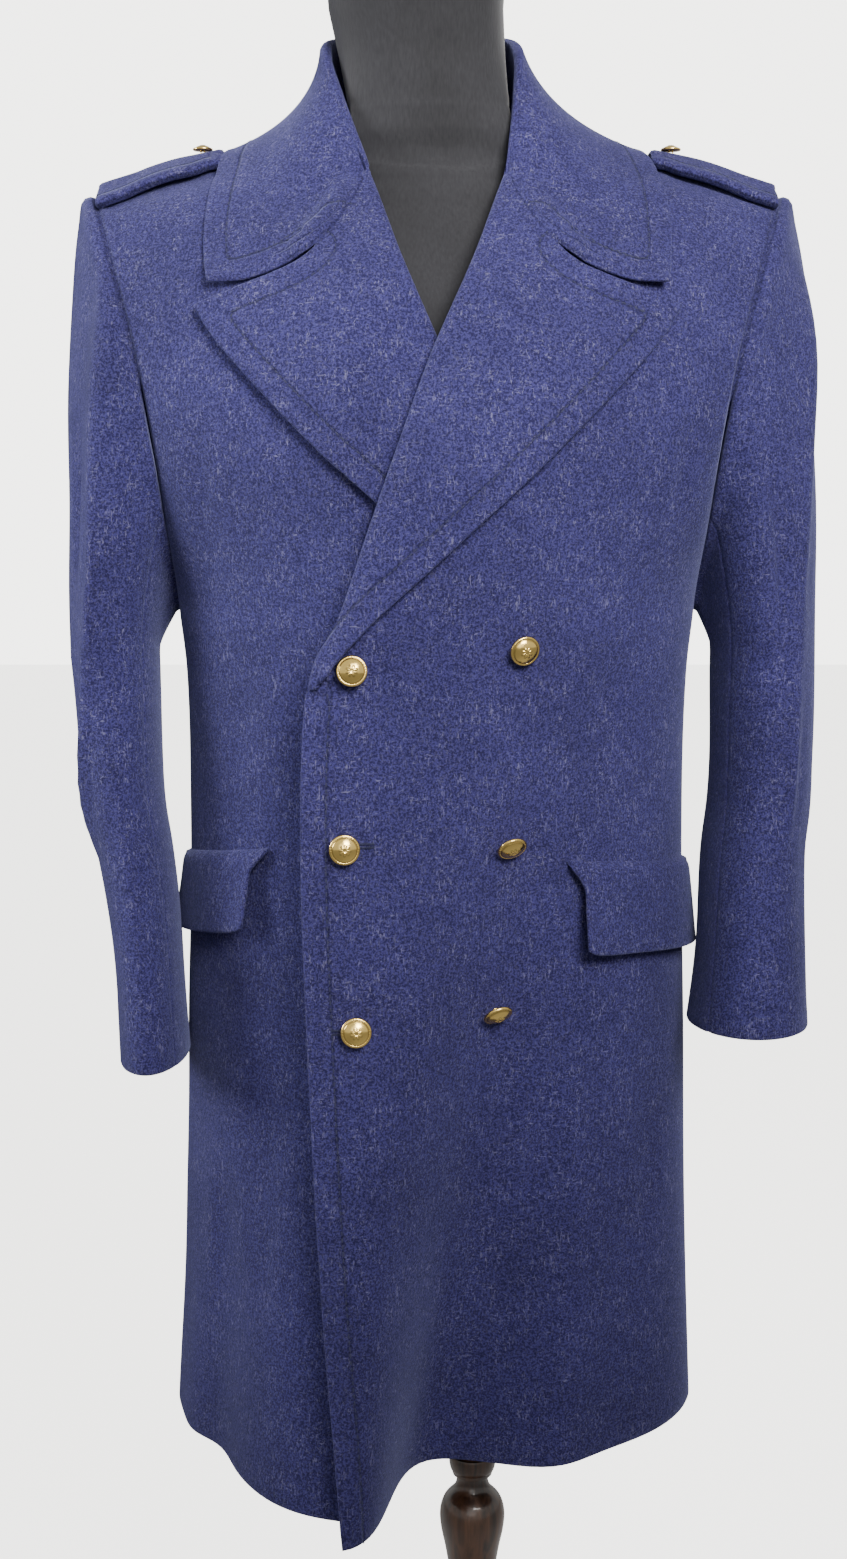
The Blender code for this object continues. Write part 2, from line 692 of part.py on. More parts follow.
def button(name, radius, where, normal, tilt, look, parent):
    """A domed shank button that stands on the cloth and hangs by its tilt."""
    size = radius / FRONT_BUTTON_RADIUS
    segments = BUTTON_SEGMENTS if size == 1 else SMALL_BUTTON_SEGMENTS
    profile = [(r * size, h * size) for r, h in BUTTON_PROFILE]
    made = lathe(name, profile, segments, look, parent)
    lean = math.radians(tilt)
    rim = RIM_HEIGHT * size - LAY_GAP
    sink = radius * abs(math.sin(lean)) - rim * math.cos(lean)
    axis = Vector((0, 0, 1)).cross(Vector(normal)).normalized()
    made.rotation_mode = "QUATERNION"
    made.rotation_quaternion = Quaternion(axis, lean) @ Vector((0, 0, 1)).rotation_difference(Vector(normal))
    made.location = Vector(where) + Vector(normal) * (SHANK_GAP + max(0.0, sink))
    return made


def flap_grid(tree, side, front_turn):
    """Outer face of a pocket flap, from its front end round to the side of the coat."""
    start = math.radians(front_turn)
    rows = []
    for i, down in enumerate(np.linspace(0, 1, FLAP_ROWS + 1)):
        row = []
        for j, along in enumerate(np.linspace(0, 1, FLAP_COLUMNS + 1)):
            bottom = FLAP_BOTTOM_Z + FLAP_CORNER * max(0.0, 1 - along * FLAP_COLUMNS / FLAP_CORNER_COLUMNS)
            z = FLAP_TOP_Z + (bottom - FLAP_TOP_Z) * down
            turn = -start * (1 - along) + FLAP_BACK_TURN * along
            way = Vector((side * math.cos(turn), math.sin(turn), 0.0))
            hit, normal, _, _ = tree.ray_cast(Vector((0, 0, z)) + way * RAY_START_RADIUS, -way)
            normal = np.array(face_out(normal, way))
            stand = FLAP_LIFT * (1 - along) ** 2 + FLAP_SIDE_LIFT
            height = CLOTH + FLAP_GAP + stand * down**FLAP_STAND_GROWTH
            row.append(np.array(hit) + normal * height)
        rows.append(row)
    return np.array(rows)


def epaulette_grid(tree, side):
    """Top face of a shoulder strap, with a rounded end toward the neck."""
    grid = []
    half = EPAULETTE_WIDTH / 2
    for along in np.linspace(0, 1, EPAULETTE_COLUMNS + 1):
        reach = (EPAULETTE_OUTER_X - EPAULETTE_INNER_X) * along
        round_off = max(0.0, 1 - reach / half)
        width = half * max(EPAULETTE_END, math.sqrt(1 - round_off**2))
        row = []
        for across in np.linspace(-1, 1, EPAULETTE_ROWS + 1):
            x = side * (EPAULETTE_INNER_X + reach)
            place = Vector((x, across * width + EPAULETTE_SHIFT_Y, RAY_START_Z))
            hit = tree.ray_cast(place, Vector((0, 0, -1)))[0]
            if hit is None:
                hit = tree.find_nearest(Vector((x, place.y, SHOULDER_Z)))[0]
            row.append((x, place.y, hit.z + EPAULETTE_THICK + EPAULETTE_ARCH * (1 - along)))
        grid.append(row)
    return laid_on(tree, np.array(grid), EPAULETTE_THICK + LAY_GAP)


def form_torso(tree, look, parent):
    """The limbless form: torso, sloping shoulders and neck in one smooth closed body."""
    sections = np.array(FORM_SECTIONS)
    points = [(0.0, 0.0, sections[0][0])]
    for z, half, front, back in sections:
        for k in range(FORM_SEGMENTS):
            turn = 2 * math.pi * k / FORM_SEGMENTS
            c = math.copysign(abs(math.cos(turn)) ** (2 / FORM_SQUARENESS), math.cos(turn))
            s = math.copysign(abs(math.sin(turn)) ** (2 / FORM_SQUARENESS), math.sin(turn))
            depth = back if s > 0 else -front
            points.append((half * c + float(neck_lean(z)), depth * s, z))
    points.append((float(neck_lean(z)), 0.0, sections[-1][0]))
    points = np.array(points)
    inside = (points[:, 2] > FORM_BOTTOM_Z + 0.1) & (points[:, 2] < FORM_COLLAR_Z)
    points[inside] = kept_inside(tree, points[inside], CLOTH + FORM_GAP)
    last = len(points) - 1
    faces = [(0, 1 + (k + 1) % FORM_SEGMENTS, 1 + k) for k in range(FORM_SEGMENTS)]
    for ring in range(len(sections) - 1):
        a = 1 + ring * FORM_SEGMENTS
        b = a + FORM_SEGMENTS
        for k in range(FORM_SEGMENTS):
            n = (k + 1) % FORM_SEGMENTS
            faces.append((a + k, a + n, b + n, b + k))
    a = 1 + (len(sections) - 1) * FORM_SEGMENTS
    faces += [(a + k, a + (k + 1) % FORM_SEGMENTS, last) for k in range(FORM_SEGMENTS)]
    return solid("form_torso", points, faces, look, parent)


def kept_inside(tree, points, depth):
    """Draws points in until they lie the depth inside the coat."""
    kept = points.copy()
    for point in kept:
        foot, normal, _, _ = tree.find_nearest(Vector(point))
        normal = face_out(normal, Vector((foot.x, foot.y, FORM_HINT_RISE)))
        over = (Vector(point) - foot).dot(normal)
        if over > -depth:
            point -= np.array(normal) * (over + depth)
    return kept


def build():
    """Makes the coat, the form and the stand."""
    clear_scene()
    wool = material("wool_melton", (0.055, 0.062, 0.160), 0.92)
    brass = material("gilt_brass", (0.83, 0.63, 0.28), 0.28, 1.0)
    form_cloth = material("form_cloth", (0.045, 0.045, 0.050), 0.85)
    dark_wood = material("dark_wood", (0.085, 0.038, 0.020), 0.38)

    coat = bpy.data.objects.new("coat_place", None)
    coat.location.x = COAT_X
    bpy.context.scene.collection.objects.link(coat)

    steps = SKIRT_STEPS + ARMHOLE_STEPS
    armpit = len(SKIRT_STEPS)
    front_left = panel_grid(FRONT_ROWS, steps, FRONT_COLUMNS)
    front_right = mirrored(front_left)
    back_left = panel_grid(BACK_ROWS, steps, BACK_COLUMNS)
    back_right = mirrored(back_left)
    front_left = fold_skirt(front_left, LEFT_FOLDS, flat_outward(front_left, -1))
    front_right = fold_skirt(front_right, RIGHT_FOLDS, flat_outward(front_right, 1))
    front_right = underneath(front_right, front_left)
    back_left = fold_skirt(back_left, BACK_FOLDS, flat_outward(back_left, 1))
    back_right = fold_skirt(back_right, BACK_FOLDS, flat_outward(back_right, -1))
    body_tree = tree_of([front_left, front_right, back_left, back_right])
    left_tree = tree_of([front_left])

    facing = {
        "front_left": -grid_normals(front_left),
        "front_right": grid_normals(front_right),
        "back_left": grid_normals(back_left),
        "back_right": -grid_normals(back_right),
    }
    sleeves = {}
    shoulder = len(steps) - 1
    for name, side, front, back, sections in (
        ("left", 1, front_left, back_left, LEFT_SLEEVE),
        ("right", -1, front_right, back_right, RIGHT_SLEEVE),
    ):
        front_out = facing["front_" + name]
        back_out = facing["back_" + name]
        share(front_out[: armpit + 1, 0], back_out[: armpit + 1, 0])
        share(front_out[-1], back_out[-1])
        ring = np.concatenate((front[armpit:, 0], back[shoulder - 1 : armpit : -1, 0]))
        sleeve = sleeve_grid(ring, sections, side)
        normals = ring_normals(sleeve, -side)
        share(front_out[armpit + 1 :, 0], normals[0, 1 : shoulder - armpit + 1])
        share(back_out[shoulder:armpit:-1, 0], normals[0, shoulder - armpit :])
        sleeves[name] = (side, sleeve, normals)
    share(facing["back_left"][:, -1], facing["back_right"][:, -1])

    for name, grid, sign, seams in (
        ("front_left", front_left, -1, ("side", "top")),
        ("front_right", front_right, 1, ("side", "top")),
        ("back_left", back_left, 1, ("side", "top", "inner")),
        ("back_right", back_right, -1, ("side", "top", "inner")),
    ):
        cut = trim(grid, seams, SEAM_GAP / 2)
        if name.startswith("front"):
            cut = clear_of_roll(cut, facing[name])
        wall("coat_" + name, cut, facing[name], wool, coat, reverse=sign < 0)

    for name, front, side in (("left", front_left, 1), ("right", front_right, -1)):
        grid = lapel_grid(front, facing["front_" + name], steps, side)
        wall("lapel_" + name, grid, grid_normals(grid) * side, wool, coat, reverse=side < 0)

    collar = collar_grid(body_tree)
    wall("collar", collar, grid_normals(collar), wool, coat, on=body_tree)

    for name, (side, sleeve, normals) in sleeves.items():
        count = sleeve.shape[1]
        over = range(UNDER_SLEEVE_FRONT, count - UNDER_SLEEVE_BACK + 1)
        under = [k % count for k in range(count - UNDER_SLEEVE_BACK, count + UNDER_SLEEVE_FRONT + 1)]
        for part, columns in (("upper", list(over)), ("under", under)):
            cut = trim(sleeve[:, columns], ("side", "inner", "bottom"), SLEEVE_SEAM)
            wall(f"sleeve_{name}_{part}", cut, normals[:, columns], wool, coat, reverse=side > 0)
        for k, (row, height) in enumerate(CUFF_BUTTONS):
            place = sleeve[row, CUFF_COLUMN] * (1 - height) + sleeve[row + 1, CUFF_COLUMN] * height
            button(f"cuff_button_{name}_{k + 1}", SMALL_BUTTON_RADIUS, place, normals[row, CUFF_COLUMN], 0, brass, coat)

        strap = epaulette_grid(body_tree, side)
        wall(f"epaulette_{name}", strap, grid_normals(strap) * -side, wool, coat, EPAULETTE_BODY, side > 0)
        button_row = strap[EPAULETTE_BUTTON_ROW, EPAULETTE_ROWS // 2]
        button(f"epaulette_button_{name}", SMALL_BUTTON_RADIUS, button_row, (0, 0, 1), 0, brass, coat)

        flap = flap_grid(body_tree, side, FLAP_FRONT_TURN[name])
        wall(f"pocket_flap_{name}", flap, grid_normals(flap) * -side, wool, coat, reverse=side > 0)

    for name, x, z, tilt in FRONT_BUTTONS:
        where, normal, _, _ = left_tree.ray_cast(Vector((x, RAY_START_Y, z)), Vector((0, 1, 0)))
        normal = face_out(normal, Vector((0, -1, 0)))
        button(f"front_button_{name}", FRONT_BUTTON_RADIUS, where, normal, tilt, brass, coat)

    form_torso(body_tree, form_cloth, coat)
    lathe("stand_column", COLUMN_PROFILE, COLUMN_SEGMENTS, dark_wood)
    lathe("stand_base", BASE_PROFILE, BASE_SEGMENTS, dark_wood)


build()
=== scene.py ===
import math

import bpy
import numpy as np
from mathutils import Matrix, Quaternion, Vector
from mathutils.bvhtree import BVHTree


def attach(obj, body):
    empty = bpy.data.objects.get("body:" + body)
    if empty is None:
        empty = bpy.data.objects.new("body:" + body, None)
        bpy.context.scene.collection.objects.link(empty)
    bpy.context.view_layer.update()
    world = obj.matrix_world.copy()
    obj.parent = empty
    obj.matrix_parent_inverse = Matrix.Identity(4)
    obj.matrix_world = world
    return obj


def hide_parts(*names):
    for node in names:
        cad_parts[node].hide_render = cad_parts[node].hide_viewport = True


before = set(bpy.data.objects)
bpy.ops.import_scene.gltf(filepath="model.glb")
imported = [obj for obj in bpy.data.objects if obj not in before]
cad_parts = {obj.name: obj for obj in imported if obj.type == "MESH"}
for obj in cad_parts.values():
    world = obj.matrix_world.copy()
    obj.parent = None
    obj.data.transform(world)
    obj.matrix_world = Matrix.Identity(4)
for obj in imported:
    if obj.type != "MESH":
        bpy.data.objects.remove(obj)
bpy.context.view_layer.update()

# The fronts and backs.
# Four panels of wool melton, cut from a heavy milled cloth and joined by plain pressed seams.
# The wearer's left front laps over the right one, and the skirt falls in soft uneven folds.

COAT_X = -0.030
IN_SCENE = np.array((COAT_X, 0.0, 0.0))
CLOTH = 0.003
HEM_Z = 0.400
SKIRT_TOP = 0.84
RAY_START_Y = -1.0
TO_BACK = Vector((0, 1, 0))
ARMPIT_STEP = 5.0
SKIRT_ROWS = 70
ARMHOLE_ROWS = 42
FRONT_COLUMNS = 60
BACK_COLUMNS = 36

# Rows from hem to shoulder: side or armhole x, y, z, its handle x, y,
# then front edge or centre back x, y, z and its handle x, y
FRONT_ROWS = (
    (0.206, 0.000, 0.404, 0.004, -0.075, -0.066, -0.222, 0.384, 0.10, 0.020),
    (0.199, 0.000, 0.560, 0.004, -0.075, -0.081, -0.196, 0.555, 0.11, 0.008),
    (0.195, 0.000, 0.720, 0.003, -0.075, -0.090, -0.177, 0.720, 0.12, 0.000),
    (0.191, 0.000, 0.870, 0.002, -0.080, -0.095, -0.165, 0.870, 0.12, 0.000),
    (0.192, 0.000, 0.980, 0.003, -0.085, -0.090, -0.161, 0.990, 0.12, -0.006),
    (0.197, 0.000, 1.040, 0.004, -0.080, -0.069, -0.162, 1.037, 0.12, -0.008),
    (0.201, -0.045, 1.095, -0.004, -0.050, -0.048, -0.160, 1.098, 0.10, -0.008),
    (0.206, -0.070, 1.150, -0.012, -0.035, -0.029, -0.154, 1.152, 0.10, -0.006),
    (0.217, -0.076, 1.215, -0.025, -0.025, -0.005, -0.137, 1.218, 0.08, -0.004),
    (0.233, -0.058, 1.275, -0.035, -0.018, 0.024, -0.108, 1.284, 0.06, -0.004),
    (0.247, -0.030, 1.320, -0.050, -0.012, 0.050, -0.058, 1.354, 0.05, -0.002),
    (0.256, 0.002, 1.342, -0.060, 0.000, 0.073, 0.000, 1.393, 0.05, 0.000),
)
BACK_ROWS = (
    (0.206, 0.000, 0.404, 0.004, 0.075, 0.000, 0.176, 0.404, 0.08, 0.000),
    (0.199, 0.000, 0.560, 0.004, 0.075, 0.000, 0.160, 0.560, 0.08, 0.000),
    (0.195, 0.000, 0.720, 0.003, 0.075, 0.000, 0.150, 0.720, 0.08, 0.000),
    (0.191, 0.000, 0.870, 0.002, 0.075, 0.000, 0.138, 0.870, 0.08, 0.000),
    (0.192, 0.000, 0.980, 0.003, 0.075, 0.000, 0.140, 0.985, 0.08, 0.000),
    (0.197, 0.000, 1.040, 0.004, 0.075, 0.000, 0.146, 1.055, 0.08, 0.000),
    (0.202, 0.050, 1.100, -0.002, 0.040, 0.000, 0.150, 1.130, 0.08, 0.002),
    (0.209, 0.072, 1.165, -0.010, 0.030, 0.000, 0.150, 1.205, 0.07, 0.003),
    (0.221, 0.070, 1.235, -0.020, 0.025, 0.000, 0.140, 1.285, 0.07, 0.003),
    (0.238, 0.048, 1.295, -0.030, 0.020, 0.000, 0.112, 1.378, 0.06, 0.003),
    (0.251, 0.022, 1.329, -0.045, 0.010, 0.043, 0.076, 1.406, 0.05, 0.004),
    (0.256, 0.002, 1.342, -0.060, 0.000, 0.073, 0.000, 1.393, 0.05, 0.000),
)

# Soft folds of the skirt: place across at the hem and at the fold's top, top height,
# half-width at the hem, depth at the hem (minus goes in)
LEFT_FOLDS = (
    (0.036, 0.055, 0.93, 0.070, -0.088),
    (0.112, 0.120, 0.80, 0.048, -0.020),
    (0.100, 0.118, 0.72, 0.036, 0.030),
    (-0.052, -0.045, 0.80, 0.030, 0.014),
)
RIGHT_FOLDS = (
    (-0.092, -0.095, 0.74, 0.064, 0.038),
    (-0.158, -0.154, 0.75, 0.018, -0.004),
    (-0.183, -0.180, 0.62, 0.014, 0.006),
)
BACK_FOLDS = (
    (0.075, 0.060, 0.80, 0.032, -0.026),
    (0.138, 0.120, 0.74, 0.026, 0.012),
    (-0.068, -0.050, 0.78, 0.030, -0.022),
    (-0.130, -0.115, 0.82, 0.030, 0.014),
)

# Fine creases pressed by wear, as seen from the front: start, middle and end (x, z),
# half-width, depth
LEFT_FRONT_CREASES = (
    (0.072, 0.900, 0.068, 0.840, 0.060, 0.775, 0.007, -0.0035),
    (0.058, 0.760, 0.052, 0.700, 0.044, 0.640, 0.009, -0.0030),
    (0.092, 0.735, 0.100, 0.640, 0.104, 0.540, 0.014, 0.0030),
    (-0.020, 0.950, -0.018, 0.890, -0.024, 0.830, 0.009, -0.0016),
    (-0.060, 0.700, -0.052, 0.600, -0.060, 0.500, 0.014, 0.0022),
    (0.150, 1.010, 0.128, 0.975, 0.096, 0.955, 0.010, -0.0018),
    (0.176, 0.950, 0.150, 0.930, 0.118, 0.925, 0.008, 0.0012),
    (0.158, 0.720, 0.165, 0.640, 0.160, 0.560, 0.012, -0.0022),
    (0.006, 0.650, 0.018, 0.560, 0.020, 0.470, 0.012, 0.0022),
    (0.186, 1.180, 0.172, 1.130, 0.176, 1.080, 0.010, -0.0022),
    (0.060, 1.000, 0.056, 0.955, 0.052, 0.905, 0.006, -0.0012),
)
RIGHT_FRONT_CREASES = (
    (-0.150, 0.735, -0.156, 0.640, -0.146, 0.540, 0.012, 0.0030),
    (-0.120, 0.700, -0.128, 0.600, -0.132, 0.500, 0.010, -0.0022),
    (-0.168, 0.660, -0.176, 0.570, -0.170, 0.480, 0.009, 0.0022),
    (-0.176, 1.170, -0.162, 1.110, -0.170, 1.060, 0.010, -0.0024),
    (-0.172, 0.985, -0.150, 0.965, -0.128, 0.965, 0.009, -0.0014),
    (-0.120, 1.010, -0.124, 0.940, -0.116, 0.880, 0.012, 0.0016),
)
BACK_CREASES = (
    (0.150, 1.130, 0.140, 1.050, 0.150, 0.970, 0.014, -0.0026),
    (-0.146, 1.140, -0.132, 1.060, -0.150, 0.960, 0.013, -0.0028),
    (0.060, 0.960, 0.090, 0.935, 0.140, 0.930, 0.010, -0.0020),
    (-0.050, 0.950, -0.090, 0.930, -0.130, 0.935, 0.011, -0.0022),
    (0.100, 0.780, 0.112, 0.660, 0.108, 0.540, 0.016, 0.0030),
    (-0.096, 0.790, -0.104, 0.690, -0.098, 0.560, 0.017, 0.0032),
    (0.030, 0.700, 0.034, 0.600, 0.030, 0.480, 0.012, 0.0022),
    (-0.034, 0.720, -0.026, 0.620, -0.036, 0.500, 0.012, 0.0024),
    (0.045, 1.300, 0.075, 1.290, 0.110, 1.262, 0.011, -0.0016),
    (-0.050, 1.296, -0.080, 1.288, -0.116, 1.256, 0.012, -0.0018),
)

V_FOOT_Z = 1.228
V_FADE = 0.075
CHEST_START_Z = 0.93
CHEST_RISE = 0.07
CHEST_CLEARANCE = 0.0090
OVERLAP_CLEARANCE = 0.0055
SKIRT_RISE = 0.30
SKIRT_CLEARANCE = 0.003
EDGE_INSET = 0.002
FOLD_REACH = 0.012
FRONT_BLEND = 0.030
CHEST_BLEND = 0.045
BREAK_Z = 0.985
BREAK_EASE = 0.012
SEAM_TUCK = 0.0012
STITCH_INSET = 0.0165
MOST_DOWN = 1.1
FOLD_TOP_SHARE = 0.55
FOLD_GROWTH = 1.4
ROLL_CLEARANCE = 0.0098
LEAST_SQUARE = 0.4
ROLL_REACH = 0.3


def eased(t, start, leave, end, arrive):
    """A place on the way from start to end, for the directions in which it leaves and arrives."""
    h1 = 2 * t**3 - 3 * t**2 + 1
    return h1 * start + (t**3 - 2 * t**2 + t) * leave + (1 - h1) * end + (t**3 - t**2) * arrive


def spline(rows, at):
    """Values of a table between its rows, smooth through every row."""
    rows = np.asarray(rows, float)
    at = np.asarray(at, float)
    last = len(rows) - 1
    low = np.clip(np.floor(at).astype(int), 0, last - 1)
    t = (at - low)[:, None]
    p1, p2 = rows[low], rows[low + 1]
    before, after = rows[np.maximum(low - 1, 0)], rows[np.minimum(low + 2, last)]
    m1 = np.where((low > 0)[:, None], (p2 - before) / 2, p2 - p1)
    m2 = np.where((low < last - 1)[:, None], (after - p1) / 2, p2 - p1)
    return eased(t, p1, m1, p2, m2)


def unit(vectors):
    """Vectors at length one."""
    return vectors / np.maximum(np.linalg.norm(vectors, axis=-1, keepdims=True), 1e-12)


def smooth_step(value):
    """Eases from 0 to 1."""
    value = np.clip(value, 0.0, 1.0)
    return value * value * (3 - 2 * value)


def panel_grid(table, steps, columns):
    """Points of a body panel: each row runs from the side or armhole to the panel's inner edge."""
    rows = spline(table, steps)
    if table is BACK_ROWS:
        rows[:, 5] = np.maximum(rows[:, 5], 0.0)
    rows[np.asarray(steps) <= ARMPIT_STEP, 1] = 0.0
    side, inner = rows[:, 0:3], rows[:, 5:8]
    rise = (inner[:, 2] - side[:, 2]) / 3
    near = side + np.column_stack((rows[:, 3], rows[:, 4], rise))
    far = inner + np.column_stack((rows[:, 8], rows[:, 9], -rise))
    t = np.linspace(0.0, 1.0, columns + 1)[None, :, None]
    a, b, c, d = (points[:, None, :] for points in (side, near, far, inner))
    return (1 - t) ** 3 * a + 3 * (1 - t) ** 2 * t * b + 3 * (1 - t) * t**2 * c + t**3 * d


def bend(start, middle, end, t):
    """A curve from start to end, drawn toward the middle."""
    return (1 - t) ** 2 * start + 2 * t * (1 - t) * middle + t**2 * end


def grid_normals(grid):
    """The normal at each point of a grid."""
    return unit(np.cross(np.gradient(grid, axis=1), np.gradient(grid, axis=0)))


def fold_skirt(grid, folds, sign):
    """Moves the skirt of a panel in or out along soft folds that grow toward the hem."""
    outward = grid_normals(grid) * sign
    outward[..., 2] = 0.0
    outward = unit(outward)
    moved = grid.copy()
    for at_hem, at_top, top, width, depth in folds:
        down = np.clip((top - grid[..., 2]) / (top - HEM_Z), 0.0, MOST_DOWN)
        centre = at_top + (at_hem - at_top) * down
        reach = width * (FOLD_TOP_SHARE + (1 - FOLD_TOP_SHARE) * down)
        bump = np.exp(-(((grid[..., 0] - centre) / reach) ** 2))
        moved += outward * (depth * down**FOLD_GROWTH * bump)[..., None]
    return moved


def distance_to(points, path):
    """Distance of each point from a path, and how far along it the nearest place is (0 to 1)."""
    best = np.full(len(points), np.inf)
    along = np.zeros(len(points))
    for k in range(len(path) - 1):
        start, way = path[k], path[k + 1] - path[k]
        t = np.clip(((points - start) * way).sum(axis=1) / max((way * way).sum(), 1e-12), 0, 1)
        far = np.linalg.norm(points - start - t[:, None] * way, axis=1)
        near = far < best
        best[near] = far[near]
        along[near] = (k + t[near]) / (len(path) - 1)
    return best, along


def press(grid, normals, flat, creases):
    """Presses soft creases into cloth, each uneven along its length and fading at both ends."""
    pressed = grid.copy()
    points = flat.reshape(-1, 2)
    t = np.linspace(0, 1, 9)[:, None]
    for number, (*places, width, depth) in enumerate(creases):
        far, along = distance_to(points, bend(*np.array(places).reshape(3, 2), t))
        uneven = np.sin(np.pi * along) ** 0.8 * (1 + 0.3 * np.sin(7 * along + 2.1 * number))
        reach = width * (1 + 0.35 * np.sin(5 * along + number))
        amount = depth * uneven * np.exp(-((far / reach) ** 2))
        pressed += normals * amount.reshape(grid.shape[:2])[..., None]
    return pressed


def swell(grid, normals, height, seed):
    """Slow unevenness of a heavy cloth that nothing holds flat."""
    x, y, z = grid[..., 0], grid[..., 1], grid[..., 2]
    wave = np.sin(31 * x + 17 * z + seed) * np.sin(23 * z - 13 * y + 2 * seed)
    wave += 0.5 * np.sin(67 * x - 29 * y + 3 * seed) * np.sin(41 * z + 11 * x + seed)
    return grid + normals * (height * wave)[..., None]


def tree_of(grids):
    """One tree of triangles from several grids, to lay other pieces on."""
    points, faces = [], []
    for grid in grids:
        rows, columns = grid.shape[:2]
        start = len(points)
        points += [Vector(p) for p in grid.reshape(-1, 3)]
        for i in range(rows - 1):
            for j in range(columns - 1):
                a = start + i * columns + j
                faces.append((a, a + 1, a + columns))
                faces.append((a + 1, a + columns + 1, a + columns))
    return BVHTree.FromPolygons(points, faces)


def underneath(grid, over):
    """Moves the inner part of the under front back behind the outer front and its own lapel."""
    tree = tree_of([over])
    edge_z, edge_x = over[:, -1, 2], over[:, -1, 0]
    moved = grid.copy()
    for point in moved.reshape(-1, 3):
        if point[2] > V_FOOT_Z + V_FADE:
            continue
        edge = np.interp(min(point[2], V_FOOT_Z), edge_z, edge_x)
        in_chest = smooth_step((point[2] - CHEST_START_Z) / CHEST_RISE)
        weight = smooth_step(1 + (point[0] - edge) / (FRONT_BLEND + CHEST_BLEND * in_chest))
        if weight <= 0:
            continue
        deepest = -math.inf
        for aside in (-FOLD_REACH, 0.0, FOLD_REACH):
            x = max(point[0] + aside, edge + EDGE_INSET)
            start = Vector((x, RAY_START_Y, min(max(point[2], HEM_Z), V_FOOT_Z)))
            hit = tree.ray_cast(start, TO_BACK)[0] or tree.find_nearest(Vector(point))[0]
            deepest = max(deepest, hit.y)
        in_skirt = smooth_step((SKIRT_TOP - point[2]) / SKIRT_RISE)
        back = deepest + OVERLAP_CLEARANCE + SKIRT_CLEARANCE * in_skirt + CHEST_CLEARANCE * in_chest
        weight *= smooth_step((V_FOOT_Z + V_FADE - point[2]) / V_FADE)
        point[1] += weight * max(0.0, back - point[1])
    return moved


def share(first, second):
    """Gives two edges that meet at a seam the same normals."""
    at, there = np.linspace(0, 1, len(first)), np.linspace(0, 1, len(second))
    one = np.column_stack([np.interp(at, there, second[:, k]) for k in range(3)])
    two = np.column_stack([np.interp(there, at, first[:, k]) for k in range(3)])
    agree = (first * unit(one)).sum(axis=1) > 0
    agree_there = (second * unit(two)).sum(axis=1) > 0
    first[agree] = unit(first + one)[agree]
    second[agree_there] = unit(second + two)[agree_there]


def clear_of_roll(grid, normals):
    """Ends the rows above the break short of the roll line, where the lapel takes over."""
    way = unit(grid[:, -2] - grid[:, -1])
    along = unit(np.gradient(grid[:, -1], axis=0))
    square = np.abs((np.cross(along, normals[:, -1]) * way).sum(axis=1))
    amount = ROLL_CLEARANCE / np.maximum(square, LEAST_SQUARE)
    amount *= smooth_step((grid[:, -1, 2] - BREAK_Z) / BREAK_EASE)
    reach = smooth_step((np.linspace(0, 1, grid.shape[1]) - (1 - ROLL_REACH)) / ROLL_REACH)
    return grid + unit(np.roll(grid, 1, axis=1) - grid) * (amount[:, None] * reach)[..., None]


def tuck(grid, edges, amount=SEAM_TUCK):
    """Draws the named edges of a grid in, so that the rounded turnings of a seam just meet."""
    cut = grid.copy()
    for edge in edges:
        if edge in ("bottom", "top"):
            end, inside = (0, 1) if edge == "bottom" else (-1, -2)
            cut[end] += unit(grid[inside] - grid[end]) * amount
        else:
            end, inside = (0, 1) if edge == "side" else (-1, -2)
            cut[:, end] += unit(grid[:, inside] - grid[:, end]) * amount
    return cut


def object_of(name, points, faces, look):
    """A smooth object in the scene from points, faces and a material."""
    mesh = bpy.data.meshes.new(name)
    places = [tuple(map(float, point)) for point in points]
    mesh.from_pydata(places, [], [tuple(map(int, face)) for face in faces])
    mesh.materials.append(look)
    mesh.polygons.foreach_set("use_smooth", [True] * len(mesh.polygons))
    made = bpy.data.objects.new(name, mesh)
    bpy.context.scene.collection.objects.link(made)
    return made


def distance_to_edges(points, edges):
    """Distance of each point from the nearest of several edges."""
    far = np.full(len(points), 1.0)
    for path in edges:
        far = np.minimum(far, distance_to(points, path)[0])
    return far


